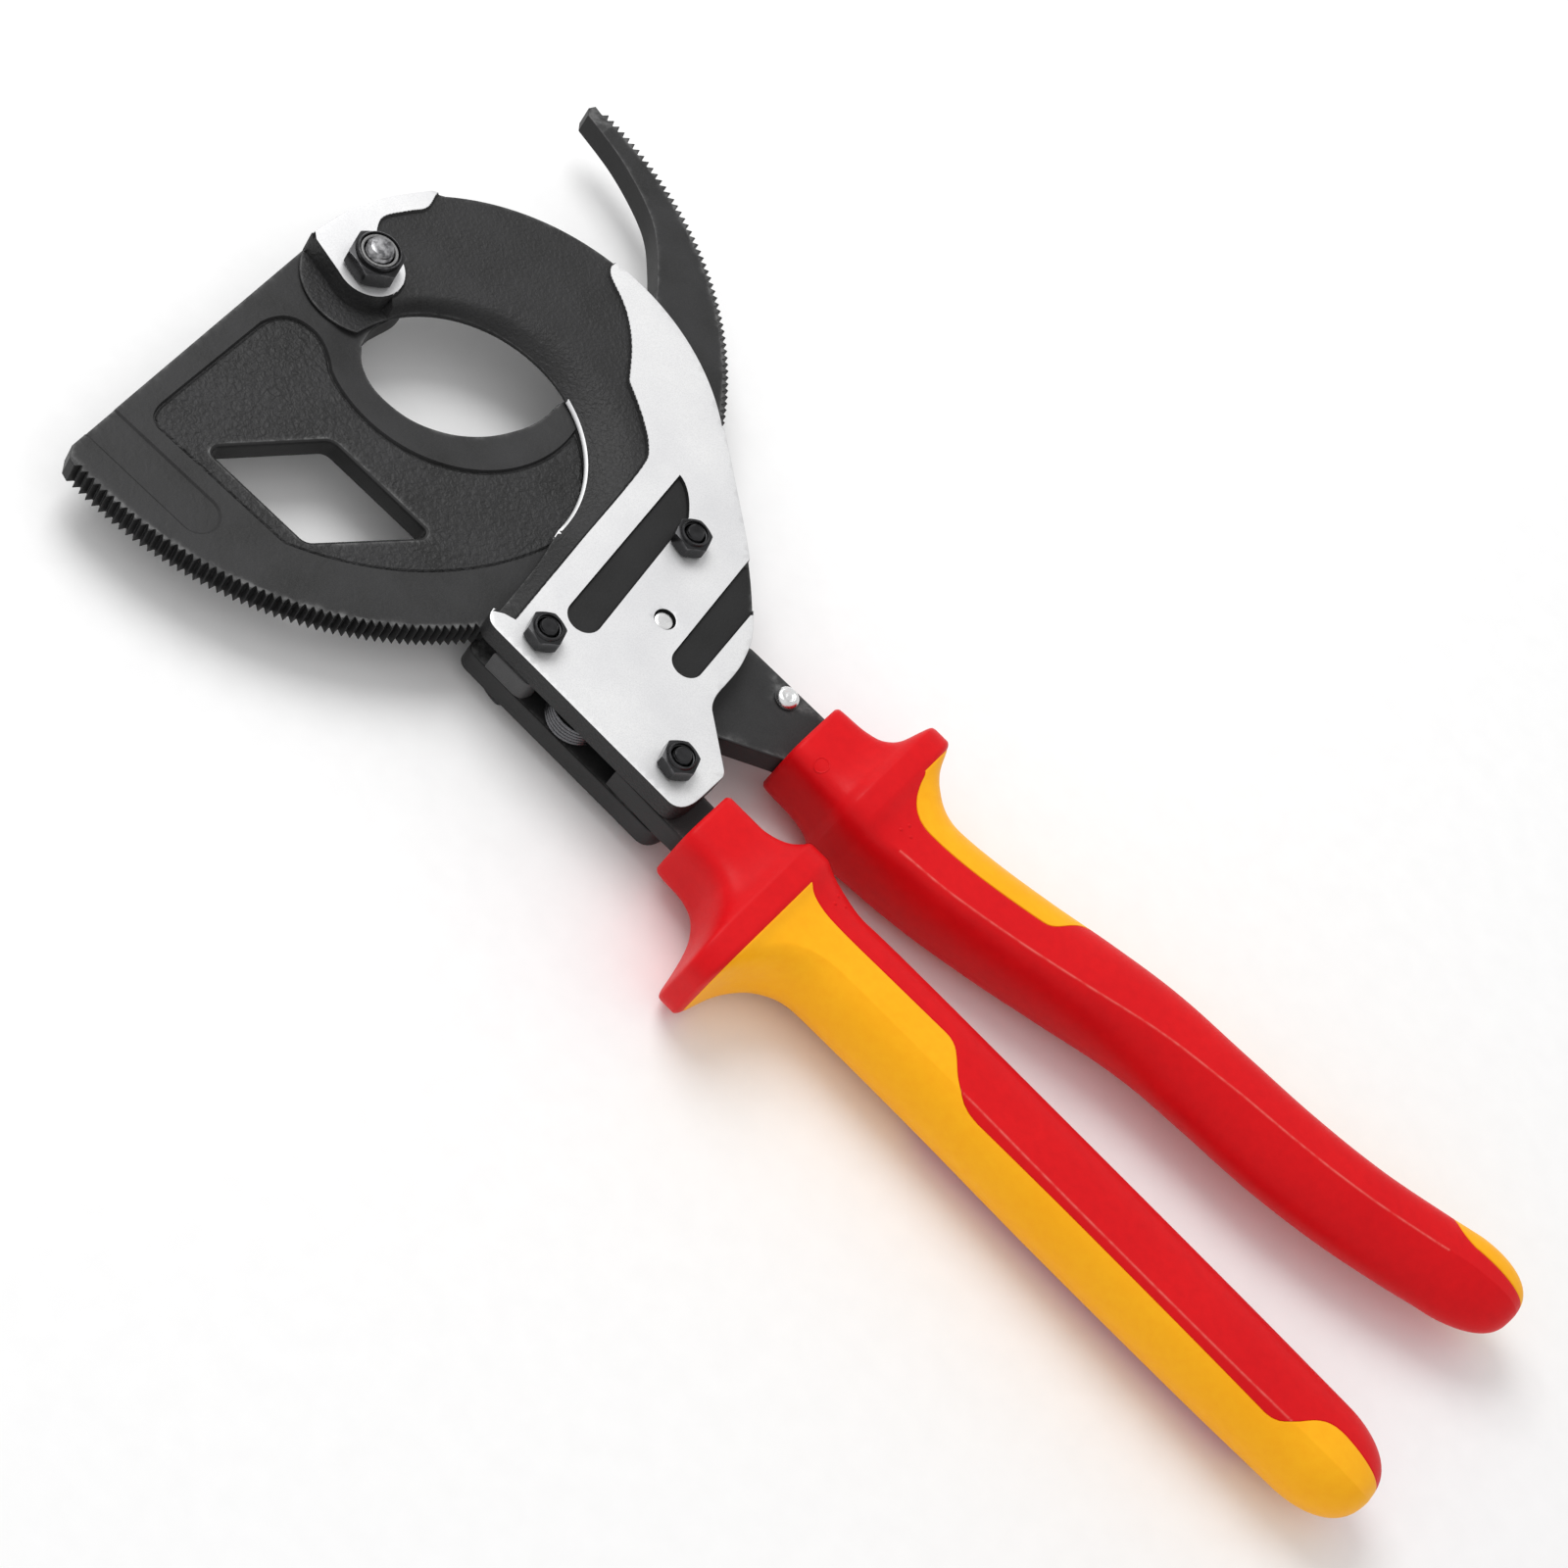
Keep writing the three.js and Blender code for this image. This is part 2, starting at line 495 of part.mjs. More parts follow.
put('front_plate_with_fixed_jaw', frontPlate(), groundSteel);
put('rear_guide_plate', rearPlate(), blackSteel);
put('toothed_blade', blade(), blackSteel);
put('pivot_bolt', pivotBolt(), fastenerSteel);
put('pivot_nut', pivotNut(), fastenerSteel);
put('pivot_nut_insert', pivotNutInsert(), nylon);
BOLT_PLACES.forEach((place, index) => {
  put(`frame_bolt_${index + 1}`, frameBolt(place), fastenerSteel);
  put(`frame_nut_${index + 1}`, frameNut(place), fastenerSteel);
});
put('lever_axle_pin', disc([LEVER_AXLE.x, LEVER_AXLE.y], LEVER_AXLE.r, REAR_BACK + 0.4, PLATE_FRONT - 0.6),
  groundSteel);
put('holding_pawl', holdingPawl(), blackSteel);
put('drive_pawl', drivePawl(), blackSteel);
put('spring_post', disc(SPRING_AXIS, 4.3, BLADE_BACK, 0), blackSteel);
put('handle_spring', handleSpring(), springSteel);
put('moving_handle_bar', movingBar(), blackSteel);
put('fixed_handle_bar', fixedBar(), blackSteel);
put('bar_rivet', barRivet(), rivetSteel);
const fixedGrip = gripParts(FIXED_GRIP, FIXED_TANG, fixedInlayZone);
put('fixed_grip_core', fixedGrip.core, redPlastic);
put('fixed_grip_inlay', fixedGrip.inlay, yellowPlastic);
const movingGrip = gripParts(MOVING_GRIP, MOVING_TANG, movingInlayZone);
put('moving_grip_core', movingGrip.core, redPlastic);
put('moving_grip_inlay', movingGrip.inlay, yellowPlastic);

// ---- move the origin to the middle of the footprint ----
const box = new THREE.Box3().setFromObject(cutter);
const middle = box.getCenter(new THREE.Vector3());
cutter.position.set(-middle.x, -middle.y, -box.min.z);

export default cutter;
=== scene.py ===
"""Looks of a ratcheting cable cutter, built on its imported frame.

Lengths in this script are millimetres around the blade pivot, with z = 0 on the blade's front face.
place() turns them into the frame's metres.
"""
import json
import math

import bpy
import numpy as np
from mathutils import Euler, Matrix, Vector, geometry


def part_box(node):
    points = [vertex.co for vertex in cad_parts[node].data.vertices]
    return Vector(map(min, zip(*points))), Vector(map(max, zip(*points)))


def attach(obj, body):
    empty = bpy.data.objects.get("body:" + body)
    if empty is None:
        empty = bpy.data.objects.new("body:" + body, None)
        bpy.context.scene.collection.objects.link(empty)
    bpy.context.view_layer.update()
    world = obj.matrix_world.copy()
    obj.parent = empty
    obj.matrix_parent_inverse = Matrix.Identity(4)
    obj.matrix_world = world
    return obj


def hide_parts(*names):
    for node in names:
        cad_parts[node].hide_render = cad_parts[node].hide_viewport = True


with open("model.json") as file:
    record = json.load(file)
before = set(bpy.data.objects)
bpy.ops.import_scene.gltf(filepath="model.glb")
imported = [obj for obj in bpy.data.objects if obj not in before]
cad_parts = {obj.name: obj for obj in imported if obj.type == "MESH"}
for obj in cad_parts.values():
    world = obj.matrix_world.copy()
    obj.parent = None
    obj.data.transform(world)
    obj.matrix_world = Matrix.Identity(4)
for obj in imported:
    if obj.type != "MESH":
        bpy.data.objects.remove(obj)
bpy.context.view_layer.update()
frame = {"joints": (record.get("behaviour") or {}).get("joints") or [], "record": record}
JOINTS = {joint["name"]: joint for joint in frame["joints"]}
PIVOT = JOINTS["blade_swing"]["pos_m"]
ORIGIN = Vector((PIVOT[0], PIVOT[1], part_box("toothed_blade")[1].z))

# ---- sizes, mm ----
GAP = 0.3
BLADE_BACK = -5.6
MIDDLE = -2.8
PLATE_BACK = GAP
PLATE_FRONT = 5.5
REAR_FRONT = -5.9
REAR_BACK = -11.3
NUT_SEAT = PLATE_FRONT + GAP
TOOTH_TIP_RADIUS = 80.0
TOOTH_DEPTH = 1.3
TOOTH_STEP = 1.2
TOOTH_FIRST = -92.4
TOOTH_COUNT = 152
TOOTH_ROOT_RADIUS = TOOTH_TIP_RADIUS - TOOTH_DEPTH
TOOTH_SHAPE = ((0.0, TOOTH_TIP_RADIUS), (0.08, TOOTH_TIP_RADIUS - 0.06), (0.50, TOOTH_ROOT_RADIUS + 0.06),
               (0.60, TOOTH_ROOT_RADIUS))      # share of a step, radius
HUB_RADIUS = 13.3
PIVOT_RADIUS = 3.95
PIVOT_THREAD_RADIUS = 2.95
FIXED_EDGE = (36.0, -12.0, 28.0)       # centre and radius of the fixed cutting edge
EDGE_STRIP_RADIUS = 28.62              # where the bright strip along that edge ends
JAW_BACK = (37.0, -2.8, 50.2)          # centre and radius of the jaw's outer curve
BOLT_PLACES = [(78.7, -35.2), (83.2, 7.0), (114.2, -34.4)]
BOLT_BODY_RADIUS = 3.0
BOLT_THREAD_RADIUS = 1.95
LEVER_AXLE = (91.7, -10.6)
LEVER_RADIUS = 2.0
RIVET_PLACE = (119.0, 1.0)
SPRING_AXIS = (93.4, -35.6)
SPRING_RADIUS = 5.9
SPRING_WIRE = 0.4
EDGE_STEP = 2.0                        # longest straight span of an outline
LINE_CLEARANCE = 0.35                  # from a face's own edge to the lines drawn on it
SLIVER = 0.002                         # narrowest triangle that is kept
FIELD_DEPTH = 0.8
RIM_CENTRE = (22.2, 5.3)
RIM_WALL = 28.7
FLOOR_HALF_SIZE = 3.0                  # metres
FLOOR_GAP = 0.0004                     # metres between the floor and the bolt heads


def place(points):
    """Points in mm around the pivot, as the frame's metres."""
    return np.asarray(points, float).reshape(-1, 3) * 0.001 + np.array(ORIGIN)


# ---- 2-D outlines ----
def arc(x, y, radius, start, end, step=3.0):
    """Points along an arc, angles in degrees, either way round."""
    count = max(2, int(abs(end - start) / step) + 1)
    angles = np.radians(np.linspace(start, end, count))
    return [(x + radius * math.cos(a), y + radius * math.sin(a)) for a in angles]


def circle(x, y, radius, count=48):
    """A closed circle, counter-clockwise."""
    return arc(x, y, radius, 0, 360 - 360 / count, 360 / count)[:count]


def spline(points, per_span=8):
    """Catmull-Rom curve through the points, ends included."""
    pts = np.array([points[0], *points, points[-1]], float)
    found = []
    for i in range(1, len(pts) - 2):
        a, b, c, d = pts[i - 1:i + 3]
        for t in np.arange(per_span) / per_span:
            found.append(0.5 * (2 * b + (c - a) * t + (2 * a - 5 * b + 4 * c - d) * t * t
                                + (3 * b - a - 3 * c + d) * t ** 3))
    found.append(pts[-2])
    return [tuple(p) for p in found]


def quadratic(start, control, end, count=8):
    """Quadratic curve from start to end."""
    s, c, e = (np.array(p, float) for p in (start, control, end))
    return [tuple((1 - t) ** 2 * s + 2 * t * (1 - t) * c + t * t * e) for t in np.linspace(0, 1, count + 1)]


def cubic(start, first, second, end, count=12):
    """Cubic curve from start to end."""
    s, a, b, e = (np.array(p, float) for p in (start, first, second, end))
    return [tuple((1 - t) ** 3 * s + 3 * t * (1 - t) ** 2 * a + 3 * t * t * (1 - t) * b + t ** 3 * e)
            for t in np.linspace(0, 1, count + 1)]


def rounded(points, radius, count=5):
    """Closed polygon with its corners rounded."""
    pts = np.array(points, float)
    found = []
    for i, p in enumerate(pts):
        to_last, to_next = pts[i - 1] - p, pts[(i + 1) % len(pts)] - p
        cut = min(radius, np.linalg.norm(to_last) * 0.45, np.linalg.norm(to_next) * 0.45)
        a = p + to_last / np.linalg.norm(to_last) * cut
        b = p + to_next / np.linalg.norm(to_next) * cut
        found += quadratic(a, p, b, count)
    return found


def clean(points, closest=0.05):
    """The loop without points that repeat."""
    kept = []
    for p in points:
        if not kept or math.dist(p, kept[-1]) > closest:
            kept.append((float(p[0]), float(p[1])))
    while len(kept) > 1 and math.dist(kept[0], kept[-1]) <= closest:
        kept.pop()
    return kept


def resampled(points, step, closed=True):
    """The line with long spans cut so that no edge is over step."""
    found = []
    count = len(points)
    for i in range(count if closed else count - 1):
        a, b = np.array(points[i]), np.array(points[(i + 1) % count])
        pieces = max(1, int(math.ceil(np.linalg.norm(b - a) / step)))
        found += [tuple(a + (b - a) * k / pieces) for k in range(pieces)]
    if not closed:
        found.append(tuple(points[-1]))
    return found


def area(loop):
    """Signed area, positive when counter-clockwise."""
    p = np.array(loop)
    q = np.roll(p, -1, axis=0)
    return 0.5 * float(np.sum(p[:, 0] * q[:, 1] - q[:, 0] * p[:, 1]))


def turned_to(loop, sign):
    """The loop running counter-clockwise for sign 1 and clockwise for -1."""
    return list(loop) if area(loop) * sign > 0 else list(loop)[::-1]


def inset(loop, distance):
    """The loop moved to its left, which is inwards when it is counter-clockwise."""
    p = np.array(loop)
    back, ahead = p - np.roll(p, 1, axis=0), np.roll(p, -1, axis=0) - p
    back /= np.linalg.norm(back, axis=1)[:, None]
    ahead /= np.linalg.norm(ahead, axis=1)[:, None]
    left = np.stack([-(back + ahead)[:, 1], (back + ahead)[:, 0]], axis=1)
    length = np.linalg.norm(left, axis=1)
    left /= np.maximum(length, 1e-6)[:, None]
    stretch = np.minimum(2.0 / np.maximum(length, 0.6), 1.8)
    return [tuple(v) for v in p + left * (distance * stretch)[:, None]]


def inside(loop, points):
    """Which points lie in the closed loop."""
    p, found = np.asarray(points, float), np.zeros(len(points), bool)
    a = np.array(loop)
    b = np.roll(a, -1, axis=0)
    for (x0, y0), (x1, y1) in zip(a, b):
        if y0 == y1:
            continue
        crosses = (p[:, 1] > min(y0, y1)) & (p[:, 1] <= max(y0, y1))
        found ^= crosses & (p[:, 0] < x0 + (p[:, 1] - y0) * (x1 - x0) / (y1 - y0))
    return found


def distance_to(line, points, closed=True):
    """Distance of each point from the line."""
    p = np.asarray(points, float)
    a = np.array(line)
    b = np.roll(a, -1, axis=0)
    if not closed:
        a, b = a[:-1], b[:-1]
    best = np.full(len(p), 1e9)
    for s, e in zip(a, b):
        d = e - s
        t = np.clip(((p - s) @ d) / max(d @ d, 1e-12), 0, 1)
        best = np.minimum(best, np.hypot(*(p - s - t[:, None] * d).T))
    return best


def depth_in(loop, points):
    """Distance from the loop, positive inside it."""
    return np.where(inside(loop, points), 1, -1) * distance_to(loop, points)


def smooth_step(value, low, high):
    """0 below low, 1 above high, with an S between."""
    t = np.clip((np.asarray(value, float) - low) / (high - low), 0, 1)
    return t * t * (3 - 2 * t)


# ---- meshes ----
def new_object(name, vertices, faces, materials, face_material=None, sharp=32, wear_and_highlight=None):
    """A mesh object from mm points, smooth but for edges over the sharp angle."""
    mesh = bpy.data.meshes.new(name)
    mesh.from_pydata([tuple(v) for v in place(vertices)], [], [tuple(int(i) for i in f) for f in faces])
    for material in materials:
        mesh.materials.append(material)
    if face_material is not None:
        mesh.polygons.foreach_set("material_index", np.asarray(face_material, np.int32))
    if wear_and_highlight is not None:
        made = mesh.attributes.new("wear_and_highlight", "FLOAT", "POINT")
        made.data.foreach_set("value", np.asarray(wear_and_highlight, np.float32))
    mesh.shade_smooth()
    mesh.set_sharp_from_angle(angle=math.radians(sharp))
    mesh.validate()
    obj = bpy.data.objects.new(name, mesh)
    bpy.context.scene.collection.objects.link(obj)
    normals = obj.modifiers.new("flat_faces_stay_flat", "WEIGHTED_NORMAL")
    normals.keep_sharp = True
    return obj


def stands_for(obj, node):
    """The piece rides on its CAD node's body and takes its place."""
    body = next(b for b, members in frame["record"]["behaviour"]["bodies"].items() if node in members)
    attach(obj, body)
    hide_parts(node)
    return obj


def rounding(radius, count=2):
    """Steps of (inset, drop) round a quarter circle, from the wall to the top."""
    angles = np.linspace(0, math.pi / 2, count + 1)
    return [(radius * (1 - math.cos(a)), radius * (1 - math.sin(a))) for a in angles]


def finer_near(loop, lines, fine=0.16, reach=1.1):
    """The loop with short steps where it comes close to the lines."""
    found = list(loop)
    for line in lines:
        step = resampled(found, 0.9)
        close = distance_to(line, step) < reach
        found = []
        for i, p in enumerate(step):
            found.append(p)
            q = step[(i + 1) % len(step)]
            if close[i] and close[(i + 1) % len(step)] and math.dist(p, q) > fine * 1.6:
                pieces = int(math.dist(p, q) / fine)
                found += [(p[0] + (q[0] - p[0]) * k / pieces, p[1] + (q[1] - p[1]) * k / pieces)
                          for k in range(1, pieces)]
    return found


def plate_mesh(outline, holes, top, bottom, edge=0.25, lines=(), spacing=3.0, near=()):
    """A plate with rounded edges, whose two faces follow height functions of x and y.

    edge is the rounding's radius, or one for each loop. lines are loops that the faces' edges keep to, and
    near are the loops beside which the outline is finer. Returns vertices, faces and which faces are on top,
    wall or bottom, as 0, 1 or 2.
    """
    loops = [turned_to(clean(outline), 1)] + [turned_to(clean(h), -1) for h in holes]
    loops = [resampled(loop, EDGE_STEP) for loop in loops]
    loops[0] = finer_near(loops[0], near)
    edges = list(edge) + [edge[-1]] * len(loops) if isinstance(edge, tuple) else [edge] * len(loops)
    vertices, faces, kind = [], [], []
    ring_sets = []
    for loop, radius in zip(loops, edges):
        corner = [(np.array(inset(loop, distance) if distance > 0 else loop), drop)
                  for distance, drop in rounding(radius)]
        rings = [(flat, top(flat) - drop) for flat, drop in corner[::-1]]
        ring_sets.append(rings + [(flat, bottom(flat) + drop) for flat, drop in corner])
    starts = []
    for rings in ring_sets:
        count = len(rings[0][0])
        starts.append([])
        for flat, z in rings:
            starts[-1].append(len(vertices))
            vertices += [(x, y, h) for (x, y), h in zip(flat, z)]
        for upper, lower in zip(starts[-1], starts[-1][1:]):
            for i in range(count):
                j = (i + 1) % count
                faces.append((upper + i, lower + i, lower + j, upper + j))
                kind.append(1)
    for which, height in ((0, top), (-1, bottom)):
        border = [rings[which][0] for rings in ring_sets]
        flat_faces, points, owner = fill(border, [s[which] for s in starts], lines if which == 0 else (), spacing)
        index = list(owner)
        fresh = [k for k, o in enumerate(owner) if o < 0]
        if fresh:
            z = height(np.array([points[k] for k in fresh]))
            for k, h in zip(fresh, z):
                index[k] = len(vertices)
                vertices.append((*points[k], h))
        for f in flat_faces:
            f = [index[k] for k in f]
            faces.append(f if which == 0 else f[::-1])
            kind.append(0 if which == 0 else 2)
    return np.array(vertices), faces, np.array(kind)


def between(border, points, clearance=None):
    """Which points lie in the first loop and outside the others, and further than the clearance from all."""
    found = inside(border[0], points)
    for hole in border[1:]:
        found &= ~inside(hole, points)
    if clearance is not None:
        for loop in border:
            found &= distance_to(loop, points) > clearance
    return found


def fill(border, starts, lines, spacing):
    """Triangles between the border loops, along the lines, with a grid of points between."""
    coords, edges, owner = [], [], []
    for loop, start in zip(border, starts):
        first = len(coords)
        count = len(loop)
        coords += [Vector((float(x), float(y))) for x, y in loop]
        owner += [start + i for i in range(count)]
        edges += [(first + i, first + (i + 1) % count) for i in range(count)]
    border_points = np.array([tuple(c) for c in coords])
    line_points = []
    for line, closed in lines:
        keep = resampled(line, spacing * 0.6, closed)
        ok = between(border, keep, LINE_CLEARANCE)
        first = len(coords)
        ids = {}
        for i, p in enumerate(keep):
            if ok[i]:
                ids[i] = first + len(ids)
                coords.append(Vector((float(p[0]), float(p[1]))))
                owner.append(-1)
                line_points.append(p)
        last = len(keep) if closed else len(keep) - 1
        edges += [(ids[i], ids[(i + 1) % len(keep)]) for i in range(last)
                  if i in ids and (i + 1) % len(keep) in ids]
    low, high = border_points.min(0), border_points.max(0)
    xs = np.arange(low[0] + spacing / 2, high[0], spacing)
    ys = np.arange(low[1] + spacing / 2, high[1], spacing * 0.87)
    grid = np.array([(x + (k % 2) * spacing / 2, y) for k, y in enumerate(ys) for x in xs])
    grid = grid[between(border, grid, spacing * 0.3)]
    if line_points:
        near = np.array(line_points)
        gap = np.array([np.min(np.hypot(*(near - g).T)) for g in grid])
        grid = grid[gap > spacing * 0.3]
    coords += [Vector((float(x), float(y))) for x, y in grid]
    owner += [-1] * len(grid)
    points, _, tris, origin, _, _ = geometry.delaunay_2d_cdt(coords, edges, [], 1, 1e-4)
    new_owner = []
    for members in origin:
        held = [owner[m] for m in members if m < len(owner) and owner[m] >= 0]
        new_owner.append(held[0] if held else -1)
    flat = np.array([tuple(p) for p in points])
    middle = np.array([flat[list(t)].mean(0) for t in tris])
    kept = []
    for t, ok in zip(tris, between(border, middle)):
        if not ok:
            continue
        a, b, c = (flat[k] for k in t)
        turn = (b[0] - a[0]) * (c[1] - a[1]) - (b[1] - a[1]) * (c[0] - a[0])
        longest = max(math.dist(a, b), math.dist(b, c), math.dist(c, a))
        if abs(turn) > SLIVER * longest:
            kept.append(list(t) if turn > 0 else list(t)[::-1])
    return kept, [tuple(p) for p in flat], new_owner


def level(height):
    """A height function that is the same everywhere."""
    return lambda points: np.full(len(points), float(height))


def simple_plate(name, outline, holes, low, high, material, edge=0.3, spacing=6.0):
    """A flat plate with rounded edges in one material."""
    vertices, faces, kind = plate_mesh(outline, holes, level(high), level(low), edge, spacing=spacing)
    return new_object(name, vertices, faces, [material], wear_and_highlight=wear_and_highlight_of(vertices, faces, kind))


def wear_and_highlight_of(vertices, faces, kind):
    """1 on the rounded edges between a face and the wall, 0 elsewhere; the shader lightens these edges for rubbing
    and as a painted highlight.
    """
    seen = np.zeros((len(vertices), 2), bool)
    for f, k in zip(faces, kind):
        seen[list(f), 1 if k == 1 else 0] = True
    return (seen[:, 0] & seen[:, 1]).astype(float)


def lathe(x, y, profile, sides=64, twist=None):
    """Vertices and faces of a turned shape. profile is (radius, z) from bottom to top, closed on its axis
    where the radius is 0. twist changes the radius and z at each angle."""
    vertices, faces, rings = [], [], []
    for radius, z in profile:
        if radius < 1e-6:
            rings.append([len(vertices)])
            vertices.append((x, y, z))
            continue
        ring = []
        for i in range(sides):
            angle = 2 * math.pi * i / sides
            r, h = (radius, z) if twist is None else twist(radius, z, angle)
            ring.append(len(vertices))
            vertices.append((x + r * math.cos(angle), y + r * math.sin(angle), h))
        rings.append(ring)
    for lower, upper in zip(rings, rings[1:]):
        for i in range(sides):
            j = (i + 1) % sides
            if len(lower) == 1 and len(upper) == 1:
                continue
            if len(lower) == 1:
                faces.append((lower[0], upper[j], upper[i]))
            elif len(upper) == 1:
                faces.append((lower[i], lower[j], upper[0]))
            else:
                faces.append((lower[i], lower[j], upper[j], upper[i]))
    return vertices, faces


def ring_lathe(x, y, profile, sides=64, twist=None):
    """As lathe, but the profile is a closed loop that never meets the axis."""
    vertices, faces = lathe(x, y, [*profile, profile[0]], sides, twist)
    count = len(profile) * sides
    merged = [tuple(i if i < count else i - count for i in f) for f in faces]
    return vertices[:count], merged


def band_faces(rings, sides, closed=False):
    """Faces between rings of points that follow each other, back to the first one when closed."""
    count = rings if closed else rings - 1
    return [(i * sides + k, i * sides + (k + 1) % sides, (i + 1) % rings * sides + (k + 1) % sides,
             (i + 1) % rings * sides + k) for i in range(count) for k in range(sides)]


def joined(parts):
    """Several (vertices, faces) as one."""
    vertices, faces = [], []
    for v, f in parts:
        base = len(vertices)
        vertices += [tuple(p) for p in v]
        faces += [tuple(base + i for i in face) for face in f]
    return vertices, faces


# ---- materials ----
class Nodes:
    """Short ways to add and join shader nodes."""

    def __init__(self, name):
        self.material = bpy.data.materials.new(name)
        self.material.use_nodes = True
        self.tree = self.material.node_tree
        self.shader = self.tree.nodes["Principled BSDF"]
        self.coords = self.tree.nodes.new("ShaderNodeTexCoord").outputs["Object"]

    def join(self, value, socket):
        """Sets a socket to a number or joins an output to it."""
        if hasattr(value, "is_linked"):
            self.tree.links.new(value, socket)
        else:
            socket.default_value = value
        return socket

    def noise(self, size_mm, detail=2.0, roughness=0.5, distortion=0.0, stretch=(1, 1, 1)):
        """Noise whose blobs are about size_mm across."""
        scaled = self.tree.nodes.new("ShaderNodeMapping")
        scaled.inputs["Scale"].default_value = stretch
        self.join(self.coords, scaled.inputs["Vector"])
        node = self.tree.nodes.new("ShaderNodeTexNoise")
        self.join(scaled.outputs[0], node.inputs["Vector"])
        node.inputs["Scale"].default_value = 1000.0 / size_mm
        node.inputs["Detail"].default_value = detail
        node.inputs["Roughness"].default_value = roughness
        node.inputs["Distortion"].default_value = distortion
        return node.outputs["Fac"]

    def spread(self, value, low, high, to_low=0.0, to_high=1.0):
        """value from low..high to to_low..to_high, held at both ends."""
        node = self.tree.nodes.new("ShaderNodeMapRange")
        self.join(value, node.inputs["Value"])
        for name, number in (("From Min", low), ("From Max", high), ("To Min", to_low), ("To Max", to_high)):
            node.inputs[name].default_value = number
        return node.outputs["Result"]

    def math(self, kind, a, b):
        """One sum on two values."""
        node = self.tree.nodes.new("ShaderNodeMath")
        node.operation = kind
        self.join(a, node.inputs[0])
        self.join(b, node.inputs[1])
        return node.outputs[0]

    def mix(self, share, first, second):
        """Colour between two colours."""
        node = self.tree.nodes.new("ShaderNodeMix")
        node.data_type = "RGBA"
        self.join(share, node.inputs["Factor"])
        for value, socket in ((first, node.inputs["A"]), (second, node.inputs["B"])):
            self.join(value if hasattr(value, "is_linked") else (*value, 1.0), socket)
        return node.outputs["Result"]

    def wear_and_highlight(self):
        """The mesh's own edge attribute, 0 to 1: rubbing plus a painted highlight on steel edges, a painted
        highlight along the red grips' ridges.
        """
        node = self.tree.nodes.new("ShaderNodeAttribute")
        node.attribute_name = "wear_and_highlight"
        return self.math("POWER", node.outputs["Fac"], 7.0)

    def bump(self, height, depth_mm, strength=1.0, under=None):
        """Bump of about depth_mm on top of another."""
        node = self.tree.nodes.new("ShaderNodeBump")
        self.join(height, node.inputs["Height"])
        node.inputs["Distance"].default_value = depth_mm * 0.001
        node.inputs["Strength"].default_value = strength
        if under is not None:
            self.join(under, node.inputs["Normal"])
        return node.outputs["Normal"]

    def finish(self, color, roughness, metallic, normal=None, **sockets):
        """Sets the shader and gives the material."""
        self.join(color if hasattr(color, "is_linked") else (*color, 1.0), self.shader.inputs["Base Color"])
        self.join(roughness, self.shader.inputs["Roughness"])
        self.shader.inputs["Metallic"].default_value = metallic
        if normal is not None:
            self.join(normal, self.shader.inputs["Normal"])
        for name, value in sockets.items():
            self.shader.inputs[name.replace("_", " ")].default_value = value
        return self.material


def blackened(name, pebble_mm, pebble_depth, shade=1.0):
    """Phosphated black steel with a pebbled or fine grain, lighter on its edges from rubbing and a painted
    highlight.
    """
    n = Nodes(name)
    patches = n.noise(14.0, 3.0)
    pebbles = n.noise(pebble_mm, 2.0, 0.55, 0.5)
    grain = n.noise(0.16, 2.0, 0.6)
    # Edge lightening towards grey: partly rubbing, partly a painted highlight.
    rub_and_highlight = n.math("MULTIPLY", n.wear_and_highlight(), n.spread(n.noise(2.5, 4.0, 0.65), 0.42, 0.62, 0.1, 0.55))
    dark, light = (0.016 * shade,) * 3, (0.030 * shade, 0.030 * shade, 0.031 * shade)
    base = n.mix(n.spread(patches, 0.3, 0.7), dark, light)
    speckled = n.mix(n.spread(grain, 0.42, 0.7, 0.0, 0.35), base, (0.060 * shade,) * 3)
    color = n.mix(rub_and_highlight, speckled, (0.2, 0.2, 0.2))
    roughness = n.math("ADD", n.spread(patches, 0.3, 0.7, 0.44, 0.54), n.spread(grain, 0.3, 0.7, -0.05, 0.05))
    normal = n.bump(pebbles, pebble_depth, 0.9, n.bump(grain, 0.02, 0.6))
    return n.finish(color, roughness, 0.25, normal, Specular_IOR_Level=0.28)


def ground_steel():
    """Nearly white ground steel with a satin grain and faint grinding lines."""
    n = Nodes("ground_steel")
    grain = n.noise(0.22, 3.0, 0.65)
    lines = n.noise(0.5, 3.0, 0.6, stretch=(6.0, 0.25, 1.0))
    patches = n.noise(16.0, 3.0)
    tone = n.mix(n.spread(patches, 0.3, 0.7), (0.72, 0.72, 0.73), (0.79, 0.79, 0.79))
    color = n.mix(n.spread(grain, 0.4, 0.75, 0.0, 0.6), tone, (0.56, 0.56, 0.57))
    roughness = n.math("ADD", n.spread(grain, 0.3, 0.7, 0.46, 0.56), n.spread(patches, 0.3, 0.7, -0.04, 0.05))
    normal = n.bump(lines, 0.012, 0.5, n.bump(grain, 0.012, 0.6))
    return n.finish(color, roughness, 0.7, normal)


def black_oxide():
    """Oiled black fasteners, with edges a little brighter from rubbing and a painted highlight."""
    n = Nodes("black_oxide_fastener")
    patches = n.noise(3.0, 3.0)
    grain = n.noise(0.2, 2.0)
    # Edges lightened: partly rubbing, partly a painted highlight.
    rub_and_highlight = n.math("MULTIPLY", n.wear_and_highlight(), n.spread(n.noise(1.2, 3.0), 0.4, 0.65, 0.15, 0.6))
    base = n.mix(n.spread(patches, 0.3, 0.7), (0.012, 0.012, 0.013), (0.028, 0.028, 0.030))
    color = n.mix(rub_and_highlight, base, (0.22, 0.22, 0.23))
    roughness = n.spread(patches, 0.3, 0.7, 0.20, 0.32)
    return n.finish(color, roughness, 0.6, n.bump(grain, 0.015, 0.6))


